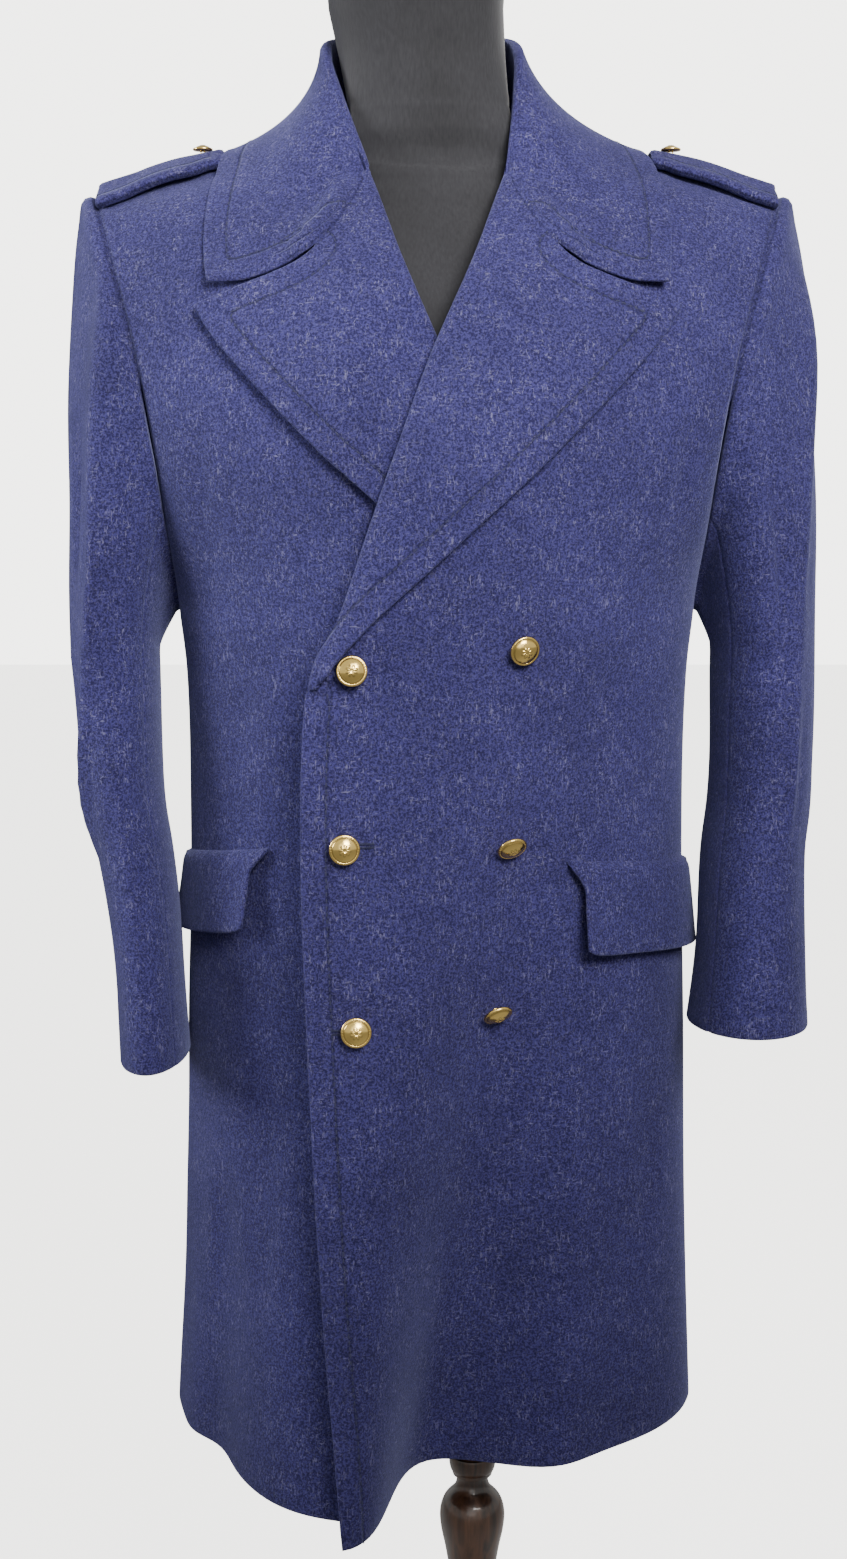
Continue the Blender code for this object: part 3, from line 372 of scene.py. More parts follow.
def cloth(
    name, outer, normals, reverse=False, thickness=CLOTH, edges=(), inset=STITCH_INSET, seams=()
):
    """A thin shell of wool with rounded edges. It keeps each point's distance from its stitches and
    seams, along which the wool is pressed in and darkened with painted shade.
    """
    rows, columns = outer.shape[:2]
    inner = outer - normals * thickness
    points = [outer.reshape(-1, 3), inner.reshape(-1, 3)]
    index = np.arange(rows * columns).reshape(rows, columns)
    back = index + rows * columns
    faces = []
    for i in range(rows - 1):
        for j in range(columns - 1):
            faces.append((index[i, j], index[i, j + 1], index[i + 1, j + 1], index[i + 1, j]))
            faces.append((back[i, j], back[i + 1, j], back[i + 1, j + 1], back[i, j + 1]))
    rim = [(0, j) for j in range(columns)]
    rim += [(i, columns - 1) for i in range(1, rows)]
    rim += [(rows - 1, j) for j in range(columns - 2, -1, -1)]
    rim += [(i, 0) for i in range(rows - 2, 0, -1)]
    out = np.zeros((len(rim), 3))
    for k, (i, j) in enumerate(rim):
        here = outer[i, j]
        if i in (0, rows - 1):
            out[k] += unit(here - outer[1 if i == 0 else rows - 2, j])
        if j in (0, columns - 1):
            out[k] += unit(here - outer[i, 1 if j == 0 else columns - 2])
    at = tuple(np.array(rim).T)
    face_way = normals[at]
    out = unit(out - face_way * (out * face_way).sum(axis=1, keepdims=True))
    middle = (outer[at] + inner[at]) / 2
    rings = [index[at]]
    for angle in (45, 90, 135):
        turn = math.radians(angle)
        ring = middle + (face_way * math.cos(turn) + out * math.sin(turn)) * thickness / 2
        rings.append(sum(len(part) for part in points) + np.arange(len(rim)))
        points.append(ring)
    rings.append(back[at])
    for upper, lower in zip(rings, rings[1:]):
        for k in range(len(rim)):
            n = (k + 1) % len(rim)
            faces.append((upper[k], lower[k], lower[n], upper[n]))
    if reverse:
        faces = [face[::-1] for face in faces]
    points = np.concatenate(points) + IN_SCENE
    far = distance_to_edges(points, [path + IN_SCENE for path in edges]) - inset
    for path in seams:
        near = distance_to(points, path + IN_SCENE)[0]
        far = np.where(near < np.abs(far), near, far)
    made = object_of(name, points, faces, melton)
    made.data.attributes.new("from_stitches", "FLOAT", "POINT").data.foreach_set("value", far)
    return made


def sewn(piece, node):
    """Hides the part from model.glb that a piece of cloth takes the place of, and hangs the piece
    under the root.
    """
    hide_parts(node)
    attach(piece, "root")


def add(tree, kind, inputs=None, **settings):
    """A new node with its settings, and with each input set or linked by its name or number."""
    made = tree.nodes.new(kind)
    for name, value in settings.items():
        setattr(made, name, value)
    for key, value in (inputs or {}).items():
        if isinstance(value, bpy.types.NodeSocket):
            tree.links.new(value, made.inputs[key])
        else:
            made.inputs[key].default_value = value
    return made


def place_on(tree):
    """The place on the object itself."""
    return add(tree, "ShaderNodeTexCoord").outputs["Object"]


def noise(tree, place, scale, detail=2, rough=0.5, distortion=0.0, stretch=None, turn=(0, 0, 0)):
    """Noise, drawn out along the axes with a small stretch."""
    if stretch:
        drawn = {"Vector": place, "Rotation": turn, "Scale": stretch}
        place = add(tree, "ShaderNodeMapping", drawn).outputs["Vector"]
    grain = {"Scale": scale, "Detail": detail, "Roughness": rough, "Distortion": distortion}
    return add(tree, "ShaderNodeTexNoise", {"Vector": place, **grain}).outputs["Fac"]


def spread(tree, value, low, high, to_low=0.0, to_high=1.0, ease="SMOOTHSTEP"):
    """Spreads the values between two limits over another range."""
    limits = {"From Min": low, "From Max": high, "To Min": to_low, "To Max": to_high}
    made = add(tree, "ShaderNodeMapRange", {"Value": value, **limits}, interpolation_type=ease)
    return made.outputs["Result"]


def maths(tree, kind, first, second=0.0):
    """What a sum or a comparison makes of two values."""
    return add(tree, "ShaderNodeMath", {0: first, 1: second}, operation=kind).outputs[0]


def blend(tree, factor, first, second, kind="MIX"):
    """Two colours blended."""
    colours = {0: factor, 6: first, 7: second}
    return add(tree, "ShaderNodeMix", colours, data_type="RGBA", blend_type=kind).outputs[2]


def new_look(name, values):
    """A material, its node tree and its shader's inputs, with these values set."""
    made = bpy.data.materials.new(name)
    made.use_nodes = True
    shader = made.node_tree.nodes["Principled BSDF"].inputs
    for socket, value in values.items():
        shader[socket].default_value = value
    return made, made.node_tree, shader


def raise_by(tree, shader, height, strength, distance):
    """Gives a shader relief."""
    values = {"Strength": strength, "Distance": distance, "Height": height}
    tree.links.new(add(tree, "ShaderNodeBump", values).outputs["Normal"], shader["Normal"])


def felt():
    """Milled melange wool: dark and mid fibres, paler hairs lying every way, their relief, and
    painted shade with a pressed-in groove along each stitch line.
    """
    group = bpy.data.node_groups.new("milled_wool", "ShaderNodeTree")
    for name in ("Deep", "Mid", "Pale"):
        group.interface.new_socket(name, in_out="INPUT", socket_type="NodeSocketColor")
    for name in ("Fleck", "Stitch Line"):
        group.interface.new_socket(name, in_out="INPUT", socket_type="NodeSocketFloat")
    group.interface.new_socket("Color", in_out="OUTPUT", socket_type="NodeSocketColor")
    group.interface.new_socket("Height", in_out="OUTPUT", socket_type="NodeSocketFloat")
    given, place = add(group, "NodeGroupInput").outputs, place_on(group)
    grain = noise(group, place, 640, 3, 0.66)
    fine = noise(group, place, 1500, 2, 0.6)
    hairs = 0.0
    for scale, stretch, turn, low in (
        (740, (1.0, 1.0, 0.24), (0.3, 0.7, 0.0), 0.58),
        (760, (0.24, 1.0, 1.0), (0.4, 0.2, 0.9), 0.59),
        (700, (1.0, 0.3, 0.3), (0.9, 0.5, 0.7), 0.60),
    ):
        lying = noise(group, place, scale, 2, 0.55, 0.9, stretch, turn)
        hairs = maths(group, "MAXIMUM", spread(group, lying, low, low + HAIR_EDGE), hairs)
    colour = blend(group, spread(group, grain, 0.40, 0.62), given["Deep"], given["Mid"])
    patch = spread(group, noise(group, place, 60), 0.40, 0.62, 0.35, 1.0)
    flecks = maths(group, "MULTIPLY", maths(group, "MULTIPLY", hairs, patch), given["Fleck"])
    colour = blend(group, flecks, colour, given["Pale"])
    cloudy = spread(group, noise(group, place, 11, 3, 0.55), 0.25, 0.75, 0.88, 1.12)
    # Painted shade: the colour is darkened along each row of stitches and each seam, as if the
    # pressed-in groove lay in shade.
    pressed = spread(group, given["Stitch Line"], 0.0, 1.0, 1.0, SEAM_PAINTED_SHADE)
    for shade in (cloudy, pressed):
        colour = blend(group, 1.0, colour, shade, "MULTIPLY")
    height = maths(group, "MULTIPLY", given["Stitch Line"], -PRESSED_DEPTH)
    for part, share in ((grain, 0.55), (fine, 0.25), (hairs, 0.25)):
        height = maths(group, "ADD", height, maths(group, "MULTIPLY", part, share))
    add(group, "NodeGroupOutput", {"Color": colour, "Height": height})
    return group


def wool(name, deep, mid, pale, fleck):
    """Wool melton with a pressed line where a row of stitches or a seam pulls the cloth in,
    darkened there with painted shade.
    """
    sheen = {"Sheen Weight": 0.30, "Sheen Roughness": 0.45, "Sheen Tint": (0.45, 0.48, 0.85, 1.0)}
    made, tree, shader = new_look(name, {"Roughness": 0.92, "Specular IOR Level": 0.22, **sheen})
    far = add(tree, "ShaderNodeAttribute", attribute_name="from_stitches").outputs["Fac"]
    # How near a row of stitches or a seam a point lies; this sets both the pressed-in groove and
    # its painted shade.
    line = spread(tree, maths(tree, "ABSOLUTE", far), *PRESSED_AND_SHADED_LINE, 1.0, 0.0)
    given = {"Deep": (*deep, 1.0), "Mid": (*mid, 1.0), "Pale": (*pale, 1.0)}
    given |= {"Fleck": fleck, "Stitch Line": line}
    pattern = add(tree, "ShaderNodeGroup", given, node_tree=MILLED_WOOL).outputs
    tree.links.new(pattern["Color"], shader["Base Color"])
    raise_by(tree, shader, pattern["Height"], 0.55, 0.0011)
    return made


HAIR_EDGE = 0.14
# How far the painted shade along stitch lines and seams darkens the wool
SEAM_PAINTED_SHADE = 0.74
PRESSED_DEPTH = 1.6
PRESSED_AND_SHADED_LINE = (0.0002, 0.0020)
MILLED_WOOL = felt()
FIBRES = ((0.017, 0.0145, 0.064), (0.055, 0.050, 0.186), (0.26, 0.25, 0.42))
melton = wool("wool_melton", *FIBRES, fleck=0.50)

skirt_steps = np.linspace(0.0, ARMPIT_STEP, SKIRT_ROWS + 1)[:-1]
armhole_steps = np.linspace(ARMPIT_STEP, len(FRONT_ROWS) - 1, ARMHOLE_ROWS + 1)
steps = np.concatenate((skirt_steps, armhole_steps))
armpit, shoulder = SKIRT_ROWS, len(steps) - 1
# The lapped edge of the inner front is cut a little shorter, so that it stays hidden
HEM_RISE = 0.008
HEM_RISE_REACH = 0.06
LAP_START_X = -0.03
LAP_BLEND = 0.04
SEAM_EASE_COLUMNS = 6
BODY_SWELL = 0.0007
MIRROR = np.array((-1.0, 1.0, 1.0))
# Each panel: the side of its grid that faces out, its folds, its creases, its seed of
# unevenness and its seams
PANELS = {
    "front_left": (-1, LEFT_FOLDS, LEFT_FRONT_CREASES, 0.4, ("side", "top")),
    "front_right": (1, RIGHT_FOLDS, RIGHT_FRONT_CREASES, 1.7, ("side", "top")),
    "back_left": (1, BACK_FOLDS, BACK_CREASES, 2.9, ("side", "top", "inner")),
    "back_right": (-1, BACK_FOLDS, BACK_CREASES, 2.9, ("side", "top", "inner")),
}

panels = {
    "front_left": panel_grid(FRONT_ROWS, steps, FRONT_COLUMNS),
    "back_left": panel_grid(BACK_ROWS, steps, BACK_COLUMNS),
}
panels["front_right"] = panels["front_left"] * MIRROR
panels["back_right"] = panels["back_left"] * MIRROR
for name, (sign, folds, *_) in PANELS.items():
    panels[name] = fold_skirt(panels[name], folds, sign)
panels["front_right"] = underneath(panels["front_right"], panels["front_left"])
lapped = panels["front_right"]
near_hem = smooth_step((HEM_Z + HEM_RISE_REACH - lapped[..., 2]) / HEM_RISE_REACH)
lapped[..., 2] += HEM_RISE * near_hem * smooth_step((lapped[..., 0] - LAP_START_X) / LAP_BLEND)
for name, (sign, _, creases, seed, _) in PANELS.items():
    plain = panels[name]
    normals = grid_normals(plain) * sign
    worn = swell(press(plain, normals, plain[..., (0, 2)], creases), normals, BODY_SWELL, seed)
    at_seam = np.minimum(np.arange(plain.shape[1]) / SEAM_EASE_COLUMNS, 1.0)
    if name.startswith("back"):
        at_seam = np.minimum(at_seam, at_seam[::-1])
    panels[name] = plain + (worn - plain) * at_seam[None, :, None]
body_tree = tree_of(list(panels.values()))
facing = {name: grid_normals(grid) * PANELS[name][0] for name, grid in panels.items()}

# The sleeves.
# Two-piece set-in sleeves, slightly bent, with a full pressed head and a plain finished cuff.
# The upper and under sleeve meet in a fore seam and a hind seam, and the head rolls a little
# beside the armhole's pressed seam.

LEFT_SLEEVE = (
    (1.000, 0.212, 0.289, -0.072, 0.058),
    (0.900, 0.210, 0.287, -0.078, 0.046),
    (0.850, 0.205, 0.281, -0.086, 0.036),
    (0.785, 0.200, 0.281, -0.098, 0.022),
    (0.724, 0.193, 0.284, -0.108, 0.012),
)
RIGHT_SLEEVE = (
    (1.000, 0.214, 0.280, -0.072, 0.058),
    (0.900, 0.211, 0.271, -0.080, 0.044),
    (0.850, 0.204, 0.259, -0.090, 0.034),
    (0.785, 0.196, 0.247, -0.102, 0.022),
    (0.700, 0.190, 0.240, -0.118, 0.008),
)
HEAD_ROWS = 28
ARM_ROWS = 36
UNDER_SHARE = {"fore": 2 / 18, "hind": 4 / 18}
SLEEVE_SPAN = 0.45
ARMHOLE_GAP = 0.0004
ARMHOLE_TUCK = 0.0011
SLEEVE_TUCK = 0.0008
SLEEVE_SWELL = 0.0008
HELD_ROWS = 5
# The roll of the sleeve's head beside the armhole seam: height, middle row and half-width in rows
HEAD_ROLL = (0.0032, 2.5, 1.8)

# Creases of each sleeve: place around from the armpit (in metres) and height, at start, middle
# and end, then half-width and depth
LEFT_SLEEVE_CREASES = (
    (0.215, 1.290, 0.170, 1.180, 0.150, 1.040, 0.012, 0.0075),
    (0.150, 1.060, 0.135, 0.960, 0.140, 0.860, 0.012, 0.0055),
    (0.120, 1.180, 0.130, 1.080, 0.118, 0.980, 0.012, -0.0050),
    (0.075, 1.010, 0.110, 0.985, 0.160, 0.990, 0.009, -0.0022),
    (0.070, 0.960, 0.100, 0.940, 0.150, 0.950, 0.010, 0.0020),
    (0.250, 1.200, 0.262, 1.080, 0.252, 0.960, 0.014, -0.0026),
    (0.300, 1.050, 0.330, 0.980, 0.330, 0.900, 0.012, -0.0030),
    (0.340, 1.030, 0.350, 0.960, 0.330, 0.870, 0.010, 0.0026),
    (0.110, 0.900, 0.128, 0.830, 0.120, 0.760, 0.010, -0.0020),
    (0.190, 0.920, 0.200, 0.830, 0.190, 0.750, 0.013, 0.0016),
)
RIGHT_SLEEVE_CREASES = (
    (0.152, 1.340, 0.128, 1.170, 0.132, 1.000, 0.011, 0.0095),
    (0.132, 1.060, 0.140, 0.970, 0.186, 0.850, 0.011, 0.0075),
    (0.176, 1.240, 0.170, 1.120, 0.180, 1.000, 0.018, -0.0050),
    (0.098, 1.190, 0.092, 1.070, 0.098, 0.930, 0.014, -0.0040),
    (0.080, 1.020, 0.110, 0.990, 0.150, 0.996, 0.008, -0.0018),
    (0.098, 0.920, 0.112, 0.850, 0.108, 0.770, 0.010, 0.0022),
    (0.250, 1.200, 0.262, 1.080, 0.252, 0.960, 0.014, -0.0024),
    (0.310, 1.060, 0.330, 0.980, 0.322, 0.900, 0.012, -0.0030),
    (0.340, 1.020, 0.350, 0.950, 0.330, 0.860, 0.010, 0.0026),
    (0.190, 0.860, 0.196, 0.800, 0.186, 0.740, 0.012, -0.0014),
)


def sleeve_grid(ring, sections, side):
    """Outer face of a sleeve, rows from the armhole to the cuff, columns around from the armpit."""
    count = len(ring)
    turn = np.arange(count) / count
    out = (1 - np.cos(2 * np.pi * turn)) / 2
    fore = np.where(turn < 0.5, -1.0, 1.0)
    side_way = np.sin(np.pi * out)
    start = ring + np.array((side * ARMHOLE_GAP, 0.0, 0.0))
    reach = side * (0.012 + 0.070 * out)
    drop = 0.020 * out - 0.030 * (1 - out) - 0.130 * side_way
    leave = np.column_stack((reach, 0.020 * fore * side_way, drop))
    angle = math.pi + 2 * np.pi * turn
    rows = []
    at = np.linspace(0, len(sections) - 1, ARM_ROWS + 1)
    for z, x_in, x_out, y_front, y_back in spline(sections, at):
        x = side * ((x_in + x_out) / 2 + (x_out - x_in) / 2 * np.cos(angle))
        y = (y_front + y_back) / 2 + (y_back - y_front) / 2 * np.sin(angle)
        rows.append(np.column_stack((x, y, np.full(count, z))))
    first = rows[0]
    arrive = np.zeros((count, 3))
    arrive[:, 2] = first[:, 2] - start[:, 2]
    head = []
    for t in np.linspace(0, 1, HEAD_ROWS + 1)[:-1]:
        head.append(eased(t, start, leave, first, arrive))
    return np.array(head + rows)


def ring_normals(grid, sign):
    """The normals of a grid whose columns run all the way round."""
    closed = np.concatenate((grid[:, -1:], grid, grid[:, :1]), axis=1)
    return unit(np.cross((closed[:, 2:] - closed[:, :-2]) / 2, np.gradient(grid, axis=0))) * sign


share(facing["back_left"][:, -1], facing["back_right"][:, -1])
sleeves = {}
for name, side, sections, creases in (
    ("left", 1, LEFT_SLEEVE, LEFT_SLEEVE_CREASES),
    ("right", -1, RIGHT_SLEEVE, RIGHT_SLEEVE_CREASES),
):
    front_out, back_out = facing["front_" + name], facing["back_" + name]
    share(front_out[: armpit + 1, 0], back_out[: armpit + 1, 0])
    share(front_out[-1], back_out[-1])
    front, hind = panels["front_" + name], panels["back_" + name]
    ring = np.concatenate((front[armpit:, 0], hind[shoulder - 1 : armpit : -1, 0]))
    sleeve = sleeve_grid(ring, sections, side)
    normals = ring_normals(sleeve, -side)
    around = np.broadcast_to(np.arange(len(ring)) / len(ring) * SLEEVE_SPAN, sleeve.shape[:2])
    shaped = press(sleeve, normals, np.stack((around, sleeve[..., 2]), axis=-1), creases)
    shaped = swell(shaped, normals, SLEEVE_SWELL, 1.3 + side)
    row = np.arange(len(sleeve))[:, None, None]
    held = smooth_step(row / HELD_ROWS)
    height, middle, width = HEAD_ROLL
    roped = height * np.exp(-(((row - middle) / width) ** 2))
    sleeve = sleeve + (shaped - sleeve) * held + normals * roped
    normals = ring_normals(sleeve, -side)
    share(front_out[armpit + 1 :, 0], normals[0, 1 : shoulder - armpit + 1])
    share(back_out[shoulder:armpit:-1, 0], normals[0, shoulder - armpit :])
    count = len(ring)
    fore, hind_seam = round(UNDER_SHARE["fore"] * count), round(UNDER_SHARE["hind"] * count)
    sleeves[name] = (side, sleeve, normals)
    over = list(range(fore, count - hind_seam + 1))
    under = [k % count for k in range(count - hind_seam, count + fore + 1)]
    for part, columns in (("upper", over), ("under", under)):
        sewn_in = tuck(sleeve[:, columns], ("bottom",), ARMHOLE_TUCK)
        cut = tuck(sewn_in, ("side", "inner"), SLEEVE_TUCK)
        node = f"sleeve_{name}_{part}"
        # Along the armhole seam the sleeve is pressed in and darkened with painted shade.
        piece = cloth(f"{node}_cloth", cut, normals[:, columns], side > 0, seams=[cut[0]])
        sewn(piece, node)

# The body panels are finished here, because each armhole seam turns with its sleeve.
uncut = dict(panels)
for name, (sign, _, _, _, seams) in PANELS.items():
    cut = tuck(panels[name], seams)
    stitched = []
    if name == "front_left":
        stitched = [cut[:, -1][cut[:, -1, 2] < BREAK_Z]]
    if name.startswith("front"):
        cut = clear_of_roll(cut, facing[name])
    panels[name] = cut
    # Along these seams the wool is pressed in and darkened with painted shade.
    pressed = [cut[:, 0], cut[-1]] + ([cut[:, -1]] if "inner" in seams else [])
    piece = cloth(f"{name}_cloth", cut, facing[name], sign < 0, edges=stitched, seams=pressed)
    sewn(piece, "coat_" + name)

# The lapels.
# Wide pointed lapels, faced with the same cloth, rolling from the break to the gorge.
# A row of topstitching runs inside the outer edge.

LAPEL_EDGE = (
    (-0.080, 0.998),
    (-0.050, 1.031),
    (-0.010, 1.068),
    (0.029, 1.104),
    (0.070, 1.142),
    (0.113, 1.185),
    (0.151, 1.226),
    (0.169, 1.252),
)
LAPEL_TOP = (
    (0.048, 1.356),
    (0.062, 1.322),
    (0.080, 1.296),
    (0.099, 1.279),
    (0.134, 1.265),
    (0.169, 1.252),
)
BREAK_STEP = 4.0
GORGE_STEP = 9.9
LAPEL_ROWS = 60
LAPEL_COLUMNS = 34
ROLL_OUTER = 0.0046
ROLL_START = 0.004
LAPEL_GAP = 0.0048
EDGE_LIFT = 0.0012
ROLL_SHARE = 0.35
NOTCH_COLUMN = 19
ROLL_TOP = 11
CHEST_Y = -0.15


def coons(bottom, top, left, right):
    """A patch between four edges, rows from bottom to top and columns from left to right."""
    v = np.linspace(0, 1, len(left))[:, None, None]
    s = np.linspace(0, 1, len(bottom))[None, :, None]
    low, high = (1 - s) * bottom[0] + s * bottom[-1], (1 - s) * top[0] + s * top[-1]
    corners = (1 - v) * low + v * high
    upward = (1 - v) * bottom[None] + v * top[None]
    return upward + (1 - s) * left[:, None] + s * right[:, None] - corners


def face_out(normal, hint):
    """The normal turned to the hint's side."""
    return normal if normal.dot(hint) > 0 else -normal


def even_out(grid, times, first=1):
    """Draws the inside of a grid toward its neighbours, from a first column on."""
    inside = slice(first, -1)
    for _ in range(times):
        around = grid[:-2, inside] + grid[2:, inside]
        around = around + grid[1:-1, first - 1 : -2] + grid[1:-1, first + 1 :]
        grid[1:-1, inside] = grid[1:-1, inside] * 0.5 + around * 0.125


def from_front(tree, x, z):
    """The place on a tree that shows from the front, and its normal turned to the front."""
    place, normal, _, _ = tree.ray_cast(Vector((x, RAY_START_Y, z)), TO_BACK)
    if place is None:
        place, normal, _, _ = tree.find_nearest(Vector((x, CHEST_Y, z)))
    return place, face_out(normal, -TO_BACK)


def lapel_grid(front, normals, side):
    """Outer face of a lapel: it rolls over the front's edge and lies back on the chest."""
    tree = tree_of([front])
    at = np.linspace(BREAK_STEP, GORGE_STEP, LAPEL_ROWS + 1)
    roll = np.column_stack([np.interp(at, steps, front[:, -1, k]) for k in range(3)])
    lift = unit(np.column_stack([np.interp(at, steps, normals[:, -1, k]) for k in range(3)]))
    along = unit(np.gradient(roll, axis=0))
    out = unit(np.cross(along, lift)) * side
    out *= np.sign(-out[:, :1] * side)
    crown = roll - out * ROLL_OUTER
    edge = spline(LAPEL_EDGE, np.linspace(0, len(LAPEL_EDGE) - 1, LAPEL_ROWS + 1)) * (side, 1)
    gorge = spline(LAPEL_TOP, np.linspace(0, len(LAPEL_TOP) - 1, LAPEL_COLUMNS + 1)) * (side, 1)
    flat_crown = crown[:, (0, 2)]
    gorge[0] = flat_crown[-1]
    bottom = np.linspace(flat_crown[0], edge[0], LAPEL_COLUMNS + 1)
    patch = coons(bottom, gorge, flat_crown, edge)
    grid = []
    for i, row in enumerate(patch):
        centre = crown[i] + lift[i] * (ROLL_OUTER - CLOTH)
        laid = [crown[i] - out[i] * ROLL_START - lift[i] * CLOTH]
        for angle in range(-90, 91, 18):
            turn = math.radians(angle)
            laid.append(centre + ROLL_OUTER * (math.cos(turn) * out[i] + math.sin(turn) * lift[i]))
        for j, (x, z) in enumerate(row[1:]):
            s = (j + 1) / LAPEL_COLUMNS
            hit, normal = from_front(tree, x, z)
            drop = smooth_step(s / ROLL_SHARE)
            height = (2 * ROLL_OUTER - CLOTH) * (1 - drop) + (CLOTH + LAPEL_GAP) * drop
            height += EDGE_LIFT * s**3
            laid.append(np.array(hit) + np.array(normal) * height)
        grid.append(laid)
    return np.array(grid)


lapels = {}
for name, side in (("left", 1), ("right", -1)):
    grid = lapel_grid(uncut["front_" + name], facing["front_" + name], side)
    even_out(grid, 6, ROLL_TOP + 2)
    for k in (1, 2):
        grid[:, ROLL_TOP + k] = (grid[:, ROLL_TOP] * (3 - k) + grid[:, ROLL_TOP + 3] * k) / 3
    free_edges = [grid[:, -1], grid[-1, -NOTCH_COLUMN:]]
    normals = grid_normals(grid) * side
    piece = cloth(f"lapel_{name}_cloth", grid, normals, side < 0, edges=free_edges)
    sewn(piece, "lapel_" + name)
    lapels[name] = (grid, normals, free_edges)

# The collar.
# One deep fall that rolls over a hidden stand, in the same cloth, with topstitching all round.
# Its front ends overlap the gorge and leave a short open notch above each lapel.

COLLAR_SECTIONS = (
    (0.0495, -0.058, 1.354, 0.0485, -0.067, 1.357, 0.069, -0.100, 1.270, 0.162, -0.100, 1.273),
    (0.0625, -0.026, 1.386, 0.061, -0.034, 1.412, 0.091, -0.060, 1.358, 0.166, -0.072, 1.302),
    (0.070, 0.002, 1.398, 0.0665, -0.002, 1.450, 0.088, 0.000, 1.398, 0.156, 0.000, 1.376),
    (0.060, 0.052, 1.410, 0.055, 0.046, 1.468, 0.076, 0.070, 1.424, 0.118, 0.104, 1.374),
    (0.000, 0.086, 1.416, 0.000, 0.070, 1.478, 0.000, 0.102, 1.434, 0.000, 0.138, 1.358),
)
COLLAR_COLUMNS = 96
COLLAR_FALL_STEPS = 30
COLLAR_ROLL = 0.0045
COLLAR_GAP = 0.0018
COLLAR_NOTCH_STEP = 8
# The neck leans from this height, over this height, by this much to one side
LEAN_FROM_Z, LEAN_HEIGHT, LEAN = 1.36, 0.09, -0.012
# Sections and fall steps over which the collar is sewn level with the lapel
GORGE_REACH = 8
GORGE_STEPS = 11
GORGE_END = 0.60
GORGE_EASE = 0.07
GORGE_LIFT = 0.0012
GORGE_NEAR = 0.02


def neck_lean(height):
    """How far the neck leans sideways at a height."""
    return LEAN * np.clip((height - LEAN_FROM_Z) / LEAN_HEIGHT, 0.0, 1.3)


def laid_on(tree, points, height):
    """Lifts points that lie lower than the height over the cloth below them."""
    lifted = points.copy()
    for point in lifted.reshape(-1, 3):
        foot, normal, _, _ = tree.find_nearest(Vector(point))
        normal = face_out(normal, Vector((foot.x, foot.y, 0.02)))
        over = (Vector(point) - foot).dot(normal)
        if over < height:
            point += np.array(normal) * (height - over)
    return lifted


half = np.array(COLLAR_SECTIONS)
whole = np.concatenate((half, half[-2::-1] * np.array([-1, 1, 1] * 4)))
sections = spline(whole, np.linspace(0, len(whole) - 1, COLLAR_COLUMNS + 1)).reshape(-1, 4, 3)
sections[..., 0] += neck_lean(sections[..., 2])
collar = []
for foot, roll, middle, edge in sections:
    up = roll - foot
    rise = unit(up)
    wide = unit(middle - roll - rise * (middle - roll).dot(rise))
    reach = min(COLLAR_ROLL, 0.45 * np.linalg.norm(up) + 0.0035)
    centre = roll - rise * reach + wide * reach
    row = [foot + (centre - wide * reach - foot) * t for t in (0.0, 0.25, 0.5, 0.75)]
    for angle in range(180, -1, -20):
        turn = math.radians(angle)
        row.append(centre + reach * (math.cos(turn) * wide + math.sin(turn) * rise))
    start = row[-1]
    for t in np.linspace(0, 1, COLLAR_FALL_STEPS + 1)[1:]:
        row.append(bend(start, middle, edge, t))
    collar.append(row)
collar = np.array(collar)
fall = collar[:, -COLLAR_FALL_STEPS:]
fall = laid_on(body_tree, fall, CLOTH + COLLAR_GAP)
even_out(fall, 5)
fall = laid_on(body_tree, fall, CLOTH + COLLAR_GAP)
lapel_tree = tree_of([grid for grid, *_ in lapels.values()])
for section in list(range(GORGE_REACH)) + list(range(-GORGE_REACH, 0)):
    ends = section if section >= 0 else -1 - section
    for k in range(COLLAR_FALL_STEPS):
        weight = float(smooth_step(1 - ends / GORGE_REACH))
        weight *= float(smooth_step((GORGE_END - k / COLLAR_FALL_STEPS) / GORGE_EASE))
        foot, normal, _, far = lapel_tree.find_nearest(Vector(fall[section, k]))
        if weight > 0 and far < GORGE_NEAR:
            level = foot.y + face_out(normal, -TO_BACK).y * GORGE_LIFT
            fall[section, k, 1] += (level - fall[section, k, 1]) * weight
collar[:, -COLLAR_FALL_STEPS:] = fall
open_ends = slice(-COLLAR_FALL_STEPS + COLLAR_NOTCH_STEP, None)
fall_edges = [collar[:, -1], collar[0, open_ends], collar[-1, open_ends]]
collar_out = grid_normals(collar)
# Along the gorge seams and the topstitching the collar is pressed in and darkened with painted
# shade.
gorge_seams = [collar[end, -COLLAR_FALL_STEPS:-GORGE_STEPS] for end in (0, -1)]
piece = cloth("collar_cloth", collar, collar_out, edges=fall_edges, seams=gorge_seams)
sewn(piece, "collar")

# The shoulder straps.
# Stiff straps of doubled cloth, sewn into the sleeve head and buttoned near the collar.
# Each has a rounded inner end and a row of edge stitching.

